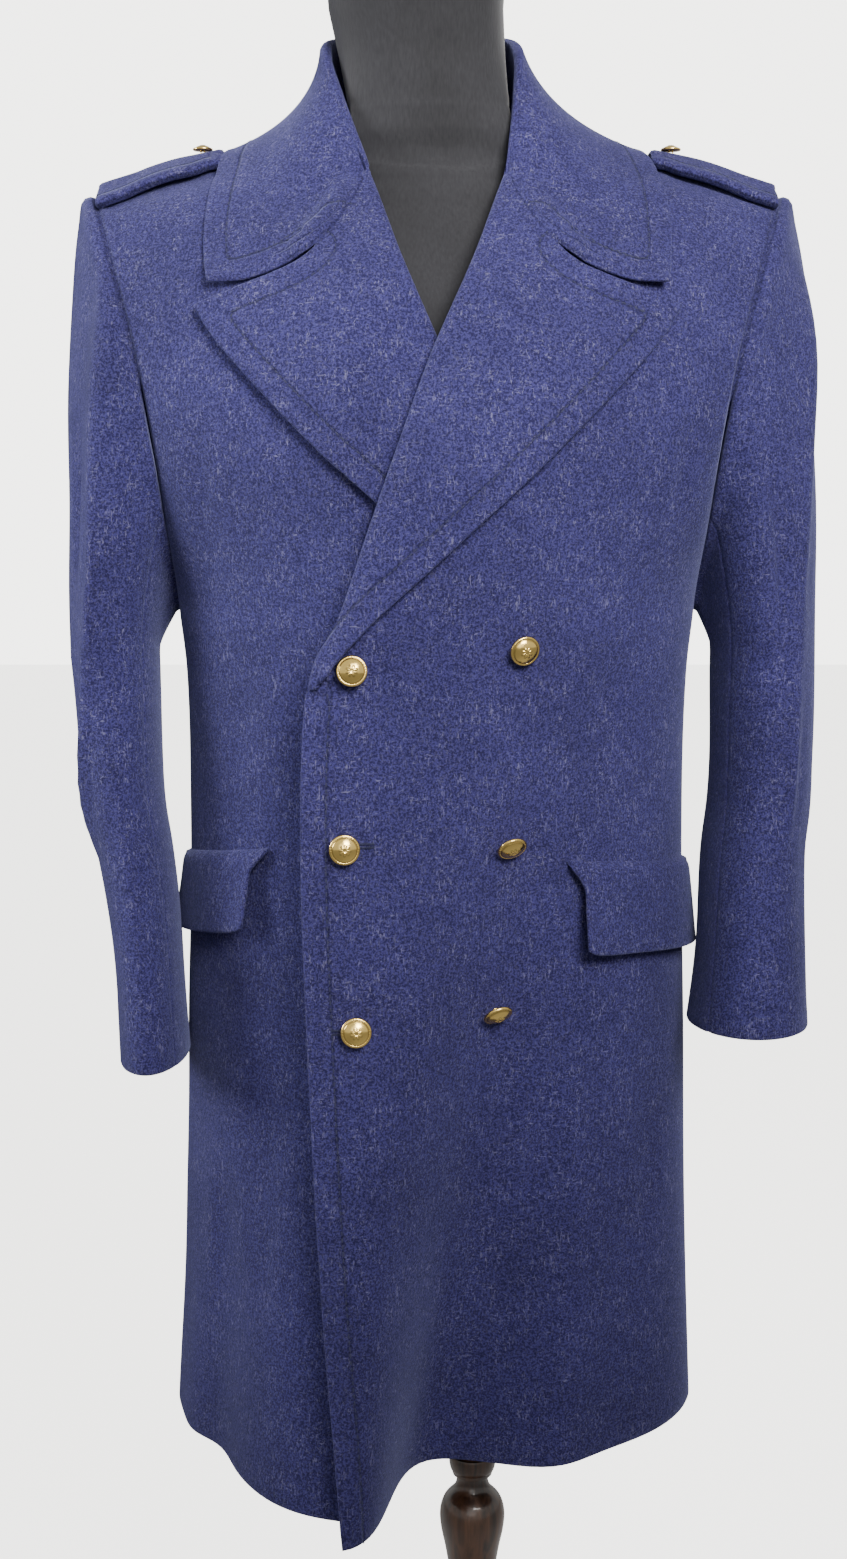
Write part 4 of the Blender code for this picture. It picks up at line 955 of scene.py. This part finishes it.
STRAP_INNER_X = 0.163
STRAP_OUTER_X = 0.250
STRAP_WIDTH = 0.048
STRAP_THICK = 0.008
STRAP_BODY = 0.0078
STRAP_ARCH = 0.003
STRAP_DOME = 0.004
STRAP_STITCH = 0.006
STRAP_GRID = (37, 17)
STRAP_Y = 0.003
STRAP_END_SHARE = 0.72
straps = {}
for name, side in (("left", 1), ("right", -1)):
    grid = []
    for along in np.linspace(0, 1, STRAP_GRID[0]):
        reach = (STRAP_OUTER_X - STRAP_INNER_X) * along
        rounded = math.sqrt(1 - max(0.0, 1 - reach / (STRAP_WIDTH / 2)) ** 2)
        width = STRAP_WIDTH / 2 * max(STRAP_END_SHARE, rounded)
        height = STRAP_THICK + STRAP_ARCH * (1 - along) + STRAP_DOME * math.sin(math.pi * along)
        row = []
        for across in np.linspace(-1, 1, STRAP_GRID[1]):
            x, y = side * (STRAP_INNER_X + reach), across * width + STRAP_Y
            hit = body_tree.ray_cast(Vector((x, y, 2.0)), Vector((0, 0, -1)))[0]
            if hit is None:
                hit = body_tree.find_nearest(Vector((x, y, 1.35)))[0]
            row.append((x, y, hit.z + height))
        grid.append(row)
    grid = laid_on(body_tree, np.array(grid), STRAP_THICK + 0.001)
    even_out(grid, 4)
    grid[0], grid[-1] = 2 * grid[1] - grid[2], 2 * grid[-2] - grid[-3]
    grid[:, 0], grid[:, -1] = 2 * grid[:, 1] - grid[:, 2], 2 * grid[:, -2] - grid[:, -3]
    normals = grid_normals(grid) * -side
    rim = [grid[0], grid[:, 0], grid[:, -1]]
    piece = cloth(f"strap_{name}_cloth", grid, normals, side > 0, STRAP_BODY, rim, STRAP_STITCH)
    sewn(piece, "epaulette_" + name)
    straps[name] = (grid, normals, rim)

# The pocket flaps.
# Straight flaps sewn into the waist pockets, with lower corners that are hardly rounded.
# They stand off the coat at the front end, so that a dark gap shows behind them.

FLAP_TOP_Z = 0.858
FLAP_BOTTOM_Z = {"left": (0.790, 0.792), "right": (0.803, 0.797)}
FLAP_FRONT_TURN = {"left": 49.0, "right": 37.0}
FLAP_LIFT = 0.011
FLAP_SLANT = {"left": 0.015, "right": 0.010}
FLAP_RAISE = {"left": 0.001, "right": 0.007}
FLAP_DRAW_BACK = 4.0
FLAP_CORNER = 0.004
FLAP_CORNER_SHARE = 1.5 / 8
FLAP_GRID = (21, 45)
FLAP_STAND = 0.003
FLAP_SIDE_STAND = 0.005
FLAP_WAVE = 0.0012
FLAP_SEAM_SHARE = 0.06
FLAP_GAP = 0.0018
FLAP_SUNK = 0.0008
for name, side in (("left", 1), ("right", -1)):
    rows = []
    front_z, side_z = FLAP_BOTTOM_Z[name]
    for down in np.linspace(0, 1, FLAP_GRID[0]):
        row = []
        loose = float(smooth_step(down / FLAP_SEAM_SHARE))
        seam = (CLOTH + FLAP_GAP) * loose - FLAP_SUNK * (1 - loose)
        for along in np.linspace(0, 1, FLAP_GRID[1]):
            corner = max(0.0, 1 - along / FLAP_CORNER_SHARE)
            bottom = front_z * (1 - along) + side_z * along
            bottom += FLAP_CORNER * (1 - math.sqrt(1 - corner**2))
            top = FLAP_TOP_Z + FLAP_RAISE[name] * (1 - along)
            z = top + (bottom - top) * down - FLAP_SLANT[name] * along
            front_turn = FLAP_FRONT_TURN[name] - FLAP_DRAW_BACK * float(smooth_step(down / 0.35))
            turn = -math.radians(front_turn) * (1 - along) + 0.03 * along
            way = Vector((side * math.cos(turn), math.sin(turn), 0.0))
            hit, normal, _, _ = body_tree.ray_cast(Vector((0, 0, z)) + way * 0.6, -way)
            stand = FLAP_LIFT * (1 - along) ** 2 + FLAP_STAND + FLAP_SIDE_STAND * along**3
            stand *= down**0.8
            wave = FLAP_WAVE * math.sin(9 * along + 2.2 * side) * down
            row.append(np.array(hit) + np.array(face_out(normal, way)) * (seam + stand + wave))
        rows.append(row)
    grid = np.array(rows)
    even_out(grid, 4)
    normals = grid_normals(grid) * -side
    piece = cloth(f"flap_{name}_cloth", grid, normals, side > 0)
    sewn(piece, "pocket_flap_" + name)

# The topstitching and buttonholes.
# Dark blue thread in short even stitches, sunk a little in the cloth, inside the collar,
# the lapels and the front edge. Each working buttonhole is bound with close bar stitches.

THREAD_RADIUS = 0.00042
STITCH_LENGTH = 0.0034
STITCH_PITCH = 0.0048


def thread_look():
    """Twisted blue-black thread."""
    made, tree, shader = new_look("navy_thread", {"Roughness": 0.6})
    twist = noise(tree, place_on(tree), 1500)
    tone = blend(tree, twist, (0.012, 0.013, 0.045, 1.0), (0.034, 0.037, 0.100, 1.0))
    tree.links.new(tone, shader["Base Color"])
    return made


def stitch_tree():
    """Geometry nodes that set a row of stitches along a path, flat on the cloth."""
    tree = bpy.data.node_groups.new("row_of_stitches", "GeometryNodeTree")
    sockets = {"Path": "Geometry", "Pitch": "Float", "Size": "Vector", "Thread": "Material"}
    for name, kind in sockets.items():
        tree.interface.new_socket(name, in_out="INPUT", socket_type="NodeSocket" + kind)
    tree.interface.new_socket("Stitches", in_out="OUTPUT", socket_type="NodeSocketGeometry")
    given = add(tree, "NodeGroupInput").outputs

    def step(kind, inputs, **settings):
        return add(tree, kind, inputs, **settings).outputs[0]

    curve = step("GeometryNodeMeshToCurve", {"Mesh": given["Path"]})
    spaced = {"Curve": curve, "Length": given["Pitch"]}
    even = step("GeometryNodeResampleCurve", spaced, mode="LENGTH")
    along = step("GeometryNodeInputTangent", {})
    lengthwise = step("FunctionNodeAlignRotationToVector", {"Vector": along}, axis="Z")
    named = {"Name": "across"}
    across = add(tree, "GeometryNodeInputNamedAttribute", named, data_type="FLOAT_VECTOR")
    turned_to = {"Rotation": lengthwise, "Vector": across.outputs["Attribute"]}
    sideways = step("FunctionNodeAlignRotationToVector", turned_to, axis="X", pivot_axis="Z")
    bead = step("GeometryNodeMeshUVSphere", {"Segments": 6, "Rings": 5, "Radius": 1.0})
    shape = step("GeometryNodeTransform", {"Geometry": bead, "Scale": given["Size"]})
    placed = {"Points": even, "Instance": shape, "Rotation": sideways}
    rows = step("GeometryNodeInstanceOnPoints", placed)
    real = step("GeometryNodeRealizeInstances", {"Geometry": rows})
    smooth = step("GeometryNodeSetShadeSmooth", {"Geometry": real})
    sewn_row = step("GeometryNodeSetMaterial", {"Geometry": smooth, "Material": given["Thread"]})
    add(tree, "NodeGroupOutput", {"Stitches": sewn_row})
    return tree


def stitch_row(name, paths, pitch, size):
    """Stitches along paths of points and normals, as one plain mesh."""
    points, across, edges = [], [], []
    for line, normals in paths:
        start = len(points)
        side = unit(np.cross(np.gradient(line, axis=0), normals))
        points += list(line + IN_SCENE)
        across += list(side)
        edges += [(k, k + 1) for k in range(start, len(points) - 1)]
    mesh = bpy.data.meshes.new(name + "_path")
    mesh.from_pydata([tuple(map(float, p)) for p in points], edges, [])
    ways = mesh.attributes.new("across", "FLOAT_VECTOR", "POINT")
    ways.data.foreach_set("vector", np.array(across).ravel())
    path = bpy.data.objects.new(name + "_path", mesh)
    bpy.context.scene.collection.objects.link(path)
    sewing = path.modifiers.new("stitches", "NODES")
    sewing.node_group = STITCHES
    given = {"Pitch": pitch, "Size": size, "Thread": navy_thread}
    for item in STITCHES.interface.items_tree:
        if item.name in given:
            sewing[item.identifier] = given[item.name]
    seen = path.evaluated_get(bpy.context.evaluated_depsgraph_get())
    made = bpy.data.objects.new(name, bpy.data.meshes.new_from_object(seen))
    bpy.context.scene.collection.objects.link(made)
    bpy.data.objects.remove(path)
    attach(made, "root")
    return made


def inset_line(grid, normals, edges, inset, walk):
    """Where a row of stitches runs: the places on a grid that lie this far inside its edges."""
    far = distance_to_edges(grid.reshape(-1, 3), edges).reshape(grid.shape[:2])
    if walk in ("top", "bottom"):
        grid, normals, far = grid.swapaxes(0, 1), normals.swapaxes(0, 1), far.T
    if walk in ("inner", "top"):
        grid, normals, far = grid[:, ::-1], normals[:, ::-1], far[:, ::-1]
    line, up = [], []
    for row, way, depth in zip(grid, normals, far):
        inside = np.nonzero((depth[:-1] < inset) & (depth[1:] >= inset))[0]
        if len(inside) == 0 or depth[0] > inset * 0.5:
            continue
        k = inside[0]
        t = (inset - depth[k]) / (depth[k + 1] - depth[k])
        line.append(row[k] * (1 - t) + row[k + 1] * t)
        up.append(way[k])
    return np.array(line) + np.array(up) * THREAD_RADIUS * 0.3, np.array(up)


navy_thread = thread_look()
STITCHES = stitch_tree()
RUNNING = (THREAD_RADIUS * 1.2, THREAD_RADIUS, STITCH_LENGTH / 2)
STITCH_STOP_Z = BREAK_Z - 0.004
outer_front, outer_facing = panels["front_left"], facing["front_left"]
lower = outer_front[:, :, 2].mean(axis=1) < STITCH_STOP_Z
front_edge = outer_front[:, -1][outer_front[:, -1, 2] < STITCH_STOP_Z]
rows = [inset_line(outer_front[lower], outer_facing[lower], [front_edge], STITCH_INSET, "inner")]
stitch_row("front_edge_stitches", rows, STITCH_PITCH, RUNNING)
stitched = [("lapel_" + name, *lapels[name], STITCH_INSET, ("inner", "top")) for name in lapels]
all_round = ("inner", "bottom", "top")
stitched.append(("collar", collar, collar_out, fall_edges, STITCH_INSET, all_round))
stitched += [("strap_" + name, *straps[name], STRAP_STITCH, ("side", "inner")) for name in straps]
for name, grid, normals, edges, inset, walks in stitched:
    rows = [inset_line(grid, normals, edges, inset, walk) for walk in walks]
    stitch_row(name + "_stitches", rows, STITCH_PITCH, RUNNING)

# Buttonholes: place of the inner end and the outer end (x) and height, on the outer front
BUTTONHOLES = ((-0.064, -0.045, 0.8775), (-0.058, -0.0745, 0.7460))
BUTTONHOLE_HALF = 0.0013
BAR_LIFT = 0.0003
BAR_PITCH = 0.0009
BAR_SIZE = (0.0012, 0.0005, 0.00042)
front_tree = tree_of([panels["front_left"]])
for k, (from_x, to_x, z) in enumerate(BUTTONHOLES):
    line, up = [], []
    for x in np.linspace(from_x, to_x, 24):
        hit, normal = from_front(front_tree, x, z)
        line.append(np.array(hit))
        up.append(np.array(normal))
    line, up = np.array(line), np.array(up)
    across = unit(np.cross(np.gradient(line, axis=0), up))
    lips = (-BUTTONHOLE_HALF, BUTTONHOLE_HALF)
    bars = [(line + across * off + up * BAR_LIFT, up) for off in lips]
    stitch_row(f"buttonhole_{k + 1}", bars, BAR_PITCH, BAR_SIZE)

# The buttons.
# Gilt domed shank buttons with a narrow milled rim and a small plain rosette, closed over a
# back plate. Six large ones close the front, and small ones stand on the cuffs and the straps.

FRONT_BUTTONS = (
    ("left_top", 0.059, 1.015, 4.0),
    ("left_middle", 0.050, 0.876, 36.0),
    ("left_low", 0.040, 0.753, 40.0),
    ("right_top", -0.060, 1.0005, -8.0),
    ("right_middle", -0.066, 0.876, 3.0),
    ("right_low", -0.058, 0.747, 3.0),
)
BUTTON_RADIUS = 0.011
STRAP_SINK = 0.0026
STRAP_BUTTON_AT = (5, 8)
CUFF_BUTTON_ROUND = 10.5 / 18
CUFF_BUTTON_ROWS = (24.8, 28.0)
SMALL_RADIUS = 0.0075
BUTTON_SEGMENTS = 96
SHANK_HEIGHT = 0.0048
SHANK_SINK = 0.001
BUTTON_LIFT = 0.0007
# For a button of radius 1: the dome, the milled rim, the rosette, and the wire ring of the shank
DOME_TOP, DOME_DROP, DOME_EDGE = 0.964, 0.42, 0.81
RIM_AT, RIM_WIDTH, RIM_Z, RIM_HEIGHT, RIM_SLOPE = 0.905, 0.085, 0.655, 0.055, 0.07
RIM_TEETH, TOOTH_HEIGHT = 32, 0.006
PETALS, PETAL_HEIGHT, PETAL_START, PETAL_REACH = 8, 0.040, 0.14, 0.24
BACK_PLATE = ((1.0, 0.545), (0.985, 0.50), (0.93, 0.455), (0.6, 0.42), (0.30, 0.41))
RING_RADIUS, RING_WIRE, RING_Z, RING_SEGMENTS, WIRE_SEGMENTS = 0.20, 0.065, 0.235, 24, 8


def gilt_look():
    """Polished gilt brass with painted shade in the hollows, and with fine handling marks."""
    made, tree, shader = new_look("gilt_brass", {"Metallic": 1.0})
    marks = noise(tree, place_on(tree), 420, 4)
    hollow_shade = add(tree, "ShaderNodeAttribute", attribute_name="hollow_shade").outputs["Fac"]
    # Painted shade: the gilt is darkened toward dark brown in the hollows, in the rim and round the
    # shank.
    tone = blend(tree, hollow_shade, (0.90, 0.64, 0.20, 1.0), (0.16, 0.09, 0.02, 1.0))
    tree.links.new(tone, shader["Base Color"])
    tree.links.new(spread(tree, marks, 0.3, 0.7, 0.12, 0.26, "LINEAR"), shader["Roughness"])
    raise_by(tree, shader, marks, 0.15, 0.0003)
    return made


def round_faces(count, rings):
    """Faces of a round body of a top point, rings of points and a bottom point."""
    faces = [(0, 1 + k, 1 + (k + 1) % count) for k in range(count)]
    for a in range(1, 1 + (rings - 1) * count, count):
        for k in range(count):
            n = (k + 1) % count
            faces.append((a + k, a + count + k, a + count + n, a + n))
    a = 1 + (rings - 1) * count
    return faces + [(a + k, a + count, a + (k + 1) % count) for k in range(count)]


def button_shape():
    """Points, faces and painted hollow shade of one button of radius 1, standing on its shank along
    +Z.
    """
    rings = [(0.0, DOME_TOP, 0.0)]
    for r in (0.04, 0.08, 0.12, *[0.17 + 0.05 * k for k in range(13)], DOME_EDGE):
        rings.append((r, DOME_TOP - DOME_DROP * r**2.2, 0.0))
    for turn in range(0, 181, 20):
        angle = math.radians(turn)
        height = RIM_Z + RIM_HEIGHT * math.sin(angle) - RIM_SLOPE * turn / 180
        rings.append((RIM_AT - RIM_WIDTH * math.cos(angle), height, 1.0))
    rings += [(r, z, 0.0) for r, z in BACK_PLATE]
    points, hollow_shade = [(0.0, 0.0, DOME_TOP)], [0.0]
    for r, z, milled in rings[1:]:
        for k in range(BUTTON_SEGMENTS):
            turn = 2 * math.pi * k / BUTTON_SEGMENTS
            # How much painted shade darkens the gilt at each point: a little in the milled rim,
            # more round the rosette's petals and in the ring between dome and rim.
            height, dark = z, 0.0
            if milled:
                height += TOOTH_HEIGHT * math.cos(RIM_TEETH * turn)
                dark = 0.12
            elif r < 0.60 and z > 0.5:
                petal = abs(math.cos(PETALS / 2 * turn)) ** 0.6
                reach = PETAL_START + PETAL_REACH * petal
                inside = float(smooth_step((reach - r) / 0.08))
                inside *= float(smooth_step((r - 0.08) / 0.05))
                height += PETAL_HEIGHT * inside
                dark = 0.45 * math.exp(-(((r - reach) / 0.04) ** 2))
            elif 0.76 < r < 0.83 and z > 0.5:
                dark = 0.45
            points.append((r * math.cos(turn), r * math.sin(turn), height))
            hollow_shade.append(dark)
    faces = round_faces(BUTTON_SEGMENTS, len(rings) - 1)
    # The middle of the back plate and the shank's wire ring are darkened with painted shade too.
    points.append((0.0, 0.0, BACK_PLATE[-1][1]))
    hollow_shade.append(0.2)
    start = len(points)
    for i in range(RING_SEGMENTS):
        around = 2 * math.pi * i / RING_SEGMENTS
        for j in range(WIRE_SEGMENTS):
            tube = 2 * math.pi * j / WIRE_SEGMENTS
            far = RING_RADIUS + RING_WIRE * math.cos(tube)
            height = RING_Z + far * math.sin(around)
            points.append((far * math.cos(around), RING_WIRE * math.sin(tube), height))
            hollow_shade.append(0.3)
    for i in range(RING_SEGMENTS):
        a, b = start + i * WIRE_SEGMENTS, start + (i + 1) % RING_SEGMENTS * WIRE_SEGMENTS
        for j in range(WIRE_SEGMENTS):
            n = (j + 1) % WIRE_SEGMENTS
            faces.append((a + j, b + j, b + n, a + n))
    return np.array(points), faces, hollow_shade


gilt = gilt_look()
BUTTON_POINTS, BUTTON_FACES, BUTTON_HOLLOW_SHADE = button_shape()


def button(name, radius, where, normal, tilt, turn):
    """A button that stands on the cloth and hangs by its tilt."""
    size = radius / BUTTON_RADIUS
    lean = math.radians(tilt)
    sink = radius * abs(math.sin(lean)) - (SHANK_HEIGHT * size - SHANK_SINK) * math.cos(lean)
    level = Vector((0, 0, 1)).cross(Vector(normal)).normalized()
    pose = Quaternion(level, lean) @ Vector((0, 0, 1)).rotation_difference(Vector(normal))
    pose = pose @ Quaternion((0, 0, 1), turn)
    place = Vector(where) + Vector(normal) * (BUTTON_LIFT + max(0.0, sink)) + Vector(IN_SCENE)
    matrix = np.array(pose.to_matrix())
    made = object_of(name, BUTTON_POINTS * radius @ matrix.T + np.array(place), BUTTON_FACES, gilt)
    # Each point carries how much painted shade darkens the gilt there.
    made.data.attributes.new("hollow_shade", "FLOAT", "POINT").data.foreach_set("value", BUTTON_HOLLOW_SHADE)
    return made


def finish_button(piece, node):
    """Hides the button from model.glb that a finished piece takes the place of, and hangs the piece
    under the root.
    """
    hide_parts(node)
    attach(piece, "root")


for number, (name, x, z, tilt) in enumerate(FRONT_BUTTONS):
    where, normal = from_front(front_tree, x, z)
    made = button(f"button_{name}", BUTTON_RADIUS, where, normal, tilt, 0.4 * number)
    finish_button(made, "front_button_" + name)
for name, (side, sleeve, normals) in sleeves.items():
    column = round(CUFF_BUTTON_ROUND * sleeve.shape[1])
    for k, row in enumerate(HEAD_ROWS + down for down in CUFF_BUTTON_ROWS):
        low, part = int(row), row - int(row)
        place = sleeve[low, column] * (1 - part) + sleeve[low + 1, column] * part
        out = normals[low, column]
        made = button(f"cuff_{name}_button_{k + 1}", SMALL_RADIUS, place, out, 0, 0.3 * k)
        finish_button(made, f"cuff_button_{name}_{k + 1}")
    place = straps[name][0][STRAP_BUTTON_AT] - (0, 0, STRAP_SINK)
    made = button(f"strap_{name}_button", SMALL_RADIUS, place, (0, 0, 1), 0, 0.2)
    finish_button(made, "epaulette_button_" + name)

# The dress form.
# A limbless torso form, padded and covered in charcoal jersey, with sloping shoulders and a
# long neck. The neck's own cover ends in a seam round the base of the neck.

FORM_SECTIONS = (
    (0.6403, 0.138, -0.090, 0.094),
    (0.652, 0.150, -0.100, 0.105),
    (0.700, 0.158, -0.104, 0.112),
    (0.780, 0.160, -0.104, 0.110),
    (0.880, 0.150, -0.102, 0.100),
    (0.980, 0.156, -0.092, 0.108),
    (1.080, 0.170, -0.098, 0.116),
    (1.160, 0.180, -0.104, 0.122),
    (1.230, 0.190, -0.098, 0.118),
    (1.290, 0.197, -0.074, 0.098),
    (1.330, 0.198, -0.050, 0.074),
    (1.352, 0.192, -0.034, 0.058),
    (1.366, 0.142, -0.034, 0.054),
    (1.378, 0.082, -0.030, 0.046),
    (1.390, 0.062, -0.038, 0.050),
    (1.408, 0.0600, -0.050, 0.058),
    (1.440, 0.0615, -0.057, 0.060),
    (1.490, 0.0655, -0.063, 0.058),
    (1.514, 0.0645, -0.062, 0.057),
    (1.520, 0.0580, -0.055, 0.050),
)
FORM_SEGMENTS = 112
FORM_ROWS = 150
FORM_SQUARENESS = 2.25
NECK_SEAM_Z = 1.404
NECK_FRONT = 0.057
NECK_CURVE = 4.0
# The chest between the lapels comes forward in line with the neck: heights and how far
CHEST_Z = (1.20, 1.29, 1.33, 1.352, 1.366, 1.378, 1.39, 1.408, 1.44)
CHEST_FILL = (0.0, 0.004, 0.014, 0.026, 0.024, 0.027, 0.019, 0.007, 0.0)
CHEST_HALF_WIDTH = 0.056
GROOVE_DEPTH = 0.0009
GROOVE_WIDTH = 0.0022
NECK_FLAT_TOP_Z = 1.46
NECK_FLAT_FADE = 0.09
NECK_FLAT_SIDE = 0.35
# The coat covers the form between these heights, and the form stays this far inside it
COVERED_Z = (0.74, 1.385)
COVERED_FADE = 0.03
FORM_GAP = 0.0007


def jersey_look():
    """Dull charcoal jersey with fine ribs."""
    sheen = {"Sheen Weight": 0.25, "Sheen Roughness": 0.5}
    dull = {"Roughness": 0.85, "Specular IOR Level": 0.3, **sheen}
    made, tree, shader = new_look("form_jersey", dull)
    knit = noise(tree, place_on(tree), 600, stretch=(1.0, 1.0, 0.25))
    cloudy = spread(tree, noise(tree, place_on(tree), 18), 0.3, 0.7, 0.85, 1.15, "LINEAR")
    tone = blend(tree, knit, (0.016, 0.016, 0.019, 1.0), (0.040, 0.040, 0.045, 1.0))
    tree.links.new(blend(tree, 1.0, tone, cloudy, "MULTIPLY"), shader["Base Color"])
    raise_by(tree, shader, knit, 0.3, 0.0005)
    return made


def turned(name, rings, look, top, bottom):
    """A closed round body from rings of points that run from top to bottom."""
    points = [top] + [tuple(p) for ring in rings for p in ring] + [bottom]
    made = object_of(name, points, round_faces(len(rings[0]), len(rings)), look)
    made.data.set_sharp_from_angle(angle=math.radians(40))
    return made


def squarer(value):
    """A cosine or a sine, flattened for the form's squarer section."""
    return math.copysign(abs(value) ** (2 / FORM_SQUARENESS), value)


rings = []
at = np.linspace(len(FORM_SECTIONS) - 1, 0, FORM_ROWS)
for z, wide, front, hind in spline(FORM_SECTIONS, at):
    ring = []
    groove = GROOVE_DEPTH * math.exp(-(((z - NECK_SEAM_Z) / GROOVE_WIDTH) ** 2))
    fill = float(np.interp(z, CHEST_Z, CHEST_FILL))
    in_neck = float(smooth_step((NECK_FLAT_TOP_Z - z) / NECK_FLAT_FADE))
    in_coat = float(smooth_step((COVERED_Z[1] - z) / COVERED_FADE))
    for k in range(FORM_SEGMENTS):
        turn = 2 * math.pi * k / FORM_SEGMENTS
        c, s = squarer(math.cos(turn)), squarer(math.sin(turn))
        depth = hind if s > 0 else -front
        if s < 0:
            depth += fill * math.exp(-((wide * c / CHEST_HALF_WIDTH) ** 4))
        point = Vector(((wide - groove) * c + float(neck_lean(z)), (depth - groove) * s, z))
        level = -NECK_FRONT + NECK_CURVE * (wide * c) ** 2
        if s < 0 and level < point.y:
            point.y += (level - point.y) * (in_neck * float(smooth_step(-s / NECK_FLAT_SIDE)))
        if COVERED_Z[0] < z < COVERED_Z[1]:
            foot, normal, _, _ = body_tree.find_nearest(point)
            normal = face_out(normal, Vector((foot.x, foot.y, 0.05)))
            over = (point - foot).dot(normal)
            if over > -CLOTH - FORM_GAP:
                point -= normal * (over + CLOTH + FORM_GAP) * in_coat
        ring.append((point.x + COAT_X, point.y, point.z))
    rings.append(ring)
lean = float(neck_lean(FORM_SECTIONS[-1][0])) + COAT_X
top, bottom = (lean, 0.0, FORM_SECTIONS[-1][0]), (COAT_X, 0.0, FORM_SECTIONS[0][0])
torso = turned("dress_form", rings, jersey_look(), top, bottom)
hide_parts("form_torso")
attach(torso, "root")

# The stand.
# A turned hardwood column with a bead and a vase, on a round weighted base, in dark varnish.

COLUMN_PROFILE = (
    (0.0000, 0.640),
    (0.0150, 0.640),
    (0.0150, 0.352),
    (0.0185, 0.346),
    (0.0190, 0.340),
    (0.0175, 0.333),
    (0.0130, 0.327),
    (0.0145, 0.318),
    (0.0230, 0.308),
    (0.0265, 0.296),
    (0.0255, 0.282),
    (0.0215, 0.262),
    (0.0175, 0.232),
    (0.0165, 0.180),
    (0.0180, 0.120),
    (0.0240, 0.070),
    (0.0270, 0.0403),
    (0.0000, 0.0403),
)
BASE_PROFILE = (
    (0.0000, 0.040),
    (0.0330, 0.040),
    (0.0480, 0.034),
    (0.0900, 0.028),
    (0.1700, 0.020),
    (0.1830, 0.016),
    (0.1860, 0.010),
    (0.1840, 0.000),
    (0.0000, 0.000),
)
STAND_SEGMENTS = 96
PROFILE_STEPS = 6


def wood_look():
    """Dark brown varnished hardwood with its grain along the column."""
    made, tree, shader = new_look("dark_wood", {"Coat Weight": 0.6, "Coat Roughness": 0.12})
    grain = noise(tree, place_on(tree), 160, 6, distortion=0.6, stretch=(1.0, 1.0, 0.07))
    tone = add(tree, "ShaderNodeValToRGB", {"Fac": grain})
    dark, light = tone.color_ramp.elements
    dark.position, dark.color = 0.34, (0.020, 0.008, 0.004, 1.0)
    light.position, light.color = 0.68, (0.105, 0.046, 0.022, 1.0)
    tree.links.new(tone.outputs["Color"], shader["Base Color"])
    tree.links.new(spread(tree, grain, 0.3, 0.7, 0.28, 0.46, "LINEAR"), shader["Roughness"])
    raise_by(tree, shader, grain, 0.12, 0.0005)
    return made


wood = wood_look()
circle = np.linspace(0, 2 * math.pi, STAND_SEGMENTS, endpoint=False)
around = np.column_stack((np.cos(circle), np.sin(circle)))
for name, profile in (("stand_column", COLUMN_PROFILE), ("stand_base", BASE_PROFILE)):
    sides = profile[1:-1]
    fine = spline(sides, np.linspace(0, len(sides) - 1, (len(sides) - 1) * PROFILE_STEPS + 1))
    rings = [np.column_stack((r * around, np.full(len(circle), z))) for r, z in fine]
    piece = turned(f"{name}_turned", rings, wood, (0, 0, profile[0][1]), (0, 0, profile[-1][1]))
    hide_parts(name)
    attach(piece, "root")

# The floor, light and camera.
# A plain pale floor in soft studio light, seen from the photograph's place.

PALE = (0.96, 0.95, 0.92, 1.0)


def seen_share(tree, mirrored):
    """1 for the camera's own view, and a small share of it in what is mirrored."""
    ray = add(tree, "ShaderNodeLightPath").outputs
    parts = {0: ray["Is Glossy Ray"], 1: mirrored, 2: ray["Is Camera Ray"]}
    return add(tree, "ShaderNodeMath", parts, operation="MULTIPLY_ADD", use_clamp=True).outputs[0]


bpy.ops.mesh.primitive_plane_add(size=24)
floor = bpy.context.object
floor.name = "floor"
plain = {"Base Color": (0.78, 0.77, 0.75, 1.0), "Roughness": 0.8, "Emission Color": PALE}
pale, tree, shader = new_look("pale_floor", plain)
tree.links.new(maths(tree, "MULTIPLY", seen_share(tree, 0.04), 3.4), shader["Emission Strength"])
floor.data.materials.append(pale)

world = bpy.data.worlds.new("studio")
bpy.context.scene.world = world
world.use_nodes = True
room = world.node_tree
dim = room.nodes["Background"]
dim.inputs["Color"].default_value = (0.92, 0.93, 0.95, 1.0)
dim.inputs["Strength"].default_value = 0.13
wall = add(room, "ShaderNodeBackground", {"Color": PALE, "Strength": 4.6})
views = {0: seen_share(room, 0.14), 1: dim.outputs[0], 2: wall.outputs[0]}
either = add(room, "ShaderNodeMixShader", views)
room.links.new(either.outputs[0], room.nodes["World Output"].inputs["Surface"])


def soft_light(name, where, aim, size, power, colour, cone):
    """A large soft lamp turned toward a point."""
    lamp = bpy.data.lights.new(name, "AREA")
    lamp.size = size
    lamp.energy = power
    lamp.color = colour
    lamp.spread = math.radians(cone)
    made = bpy.data.objects.new(name, lamp)
    made.location = where
    made.rotation_mode = "QUATERNION"
    made.rotation_quaternion = (Vector(aim) - Vector(where)).to_track_quat("-Z", "Y")
    bpy.context.scene.collection.objects.link(made)


soft_light("key", (0.60, -1.70, 2.15), (0.02, -0.1, 1.34), 1.0, 9, (1.0, 0.98, 0.96), 55)
soft_light("side", (-1.9, -0.25, 1.55), (-0.25, 0, 1.10), 0.8, 5, (0.96, 0.97, 1.0), 60)
soft_light("front", (-0.2, -2.6, 1.6), (0, 0, 1.15), 1.6, 1.5, (1.0, 1.0, 1.0), 60)
soft_light("back", (1.4, 2.4, 2.4), (0, 0, 1.1), 1.6, 12, (1.0, 1.0, 1.0), 120)

camera = bpy.data.cameras.new("camera")
camera.lens = 46.35
camera.sensor_width = 36
viewer = bpy.data.objects.new("camera", camera)
viewer.location = (-0.040, -1.55, 1.12)
viewer.rotation_euler = (math.radians(82), 0, 0)
bpy.context.scene.collection.objects.link(viewer)
bpy.context.scene.camera = viewer
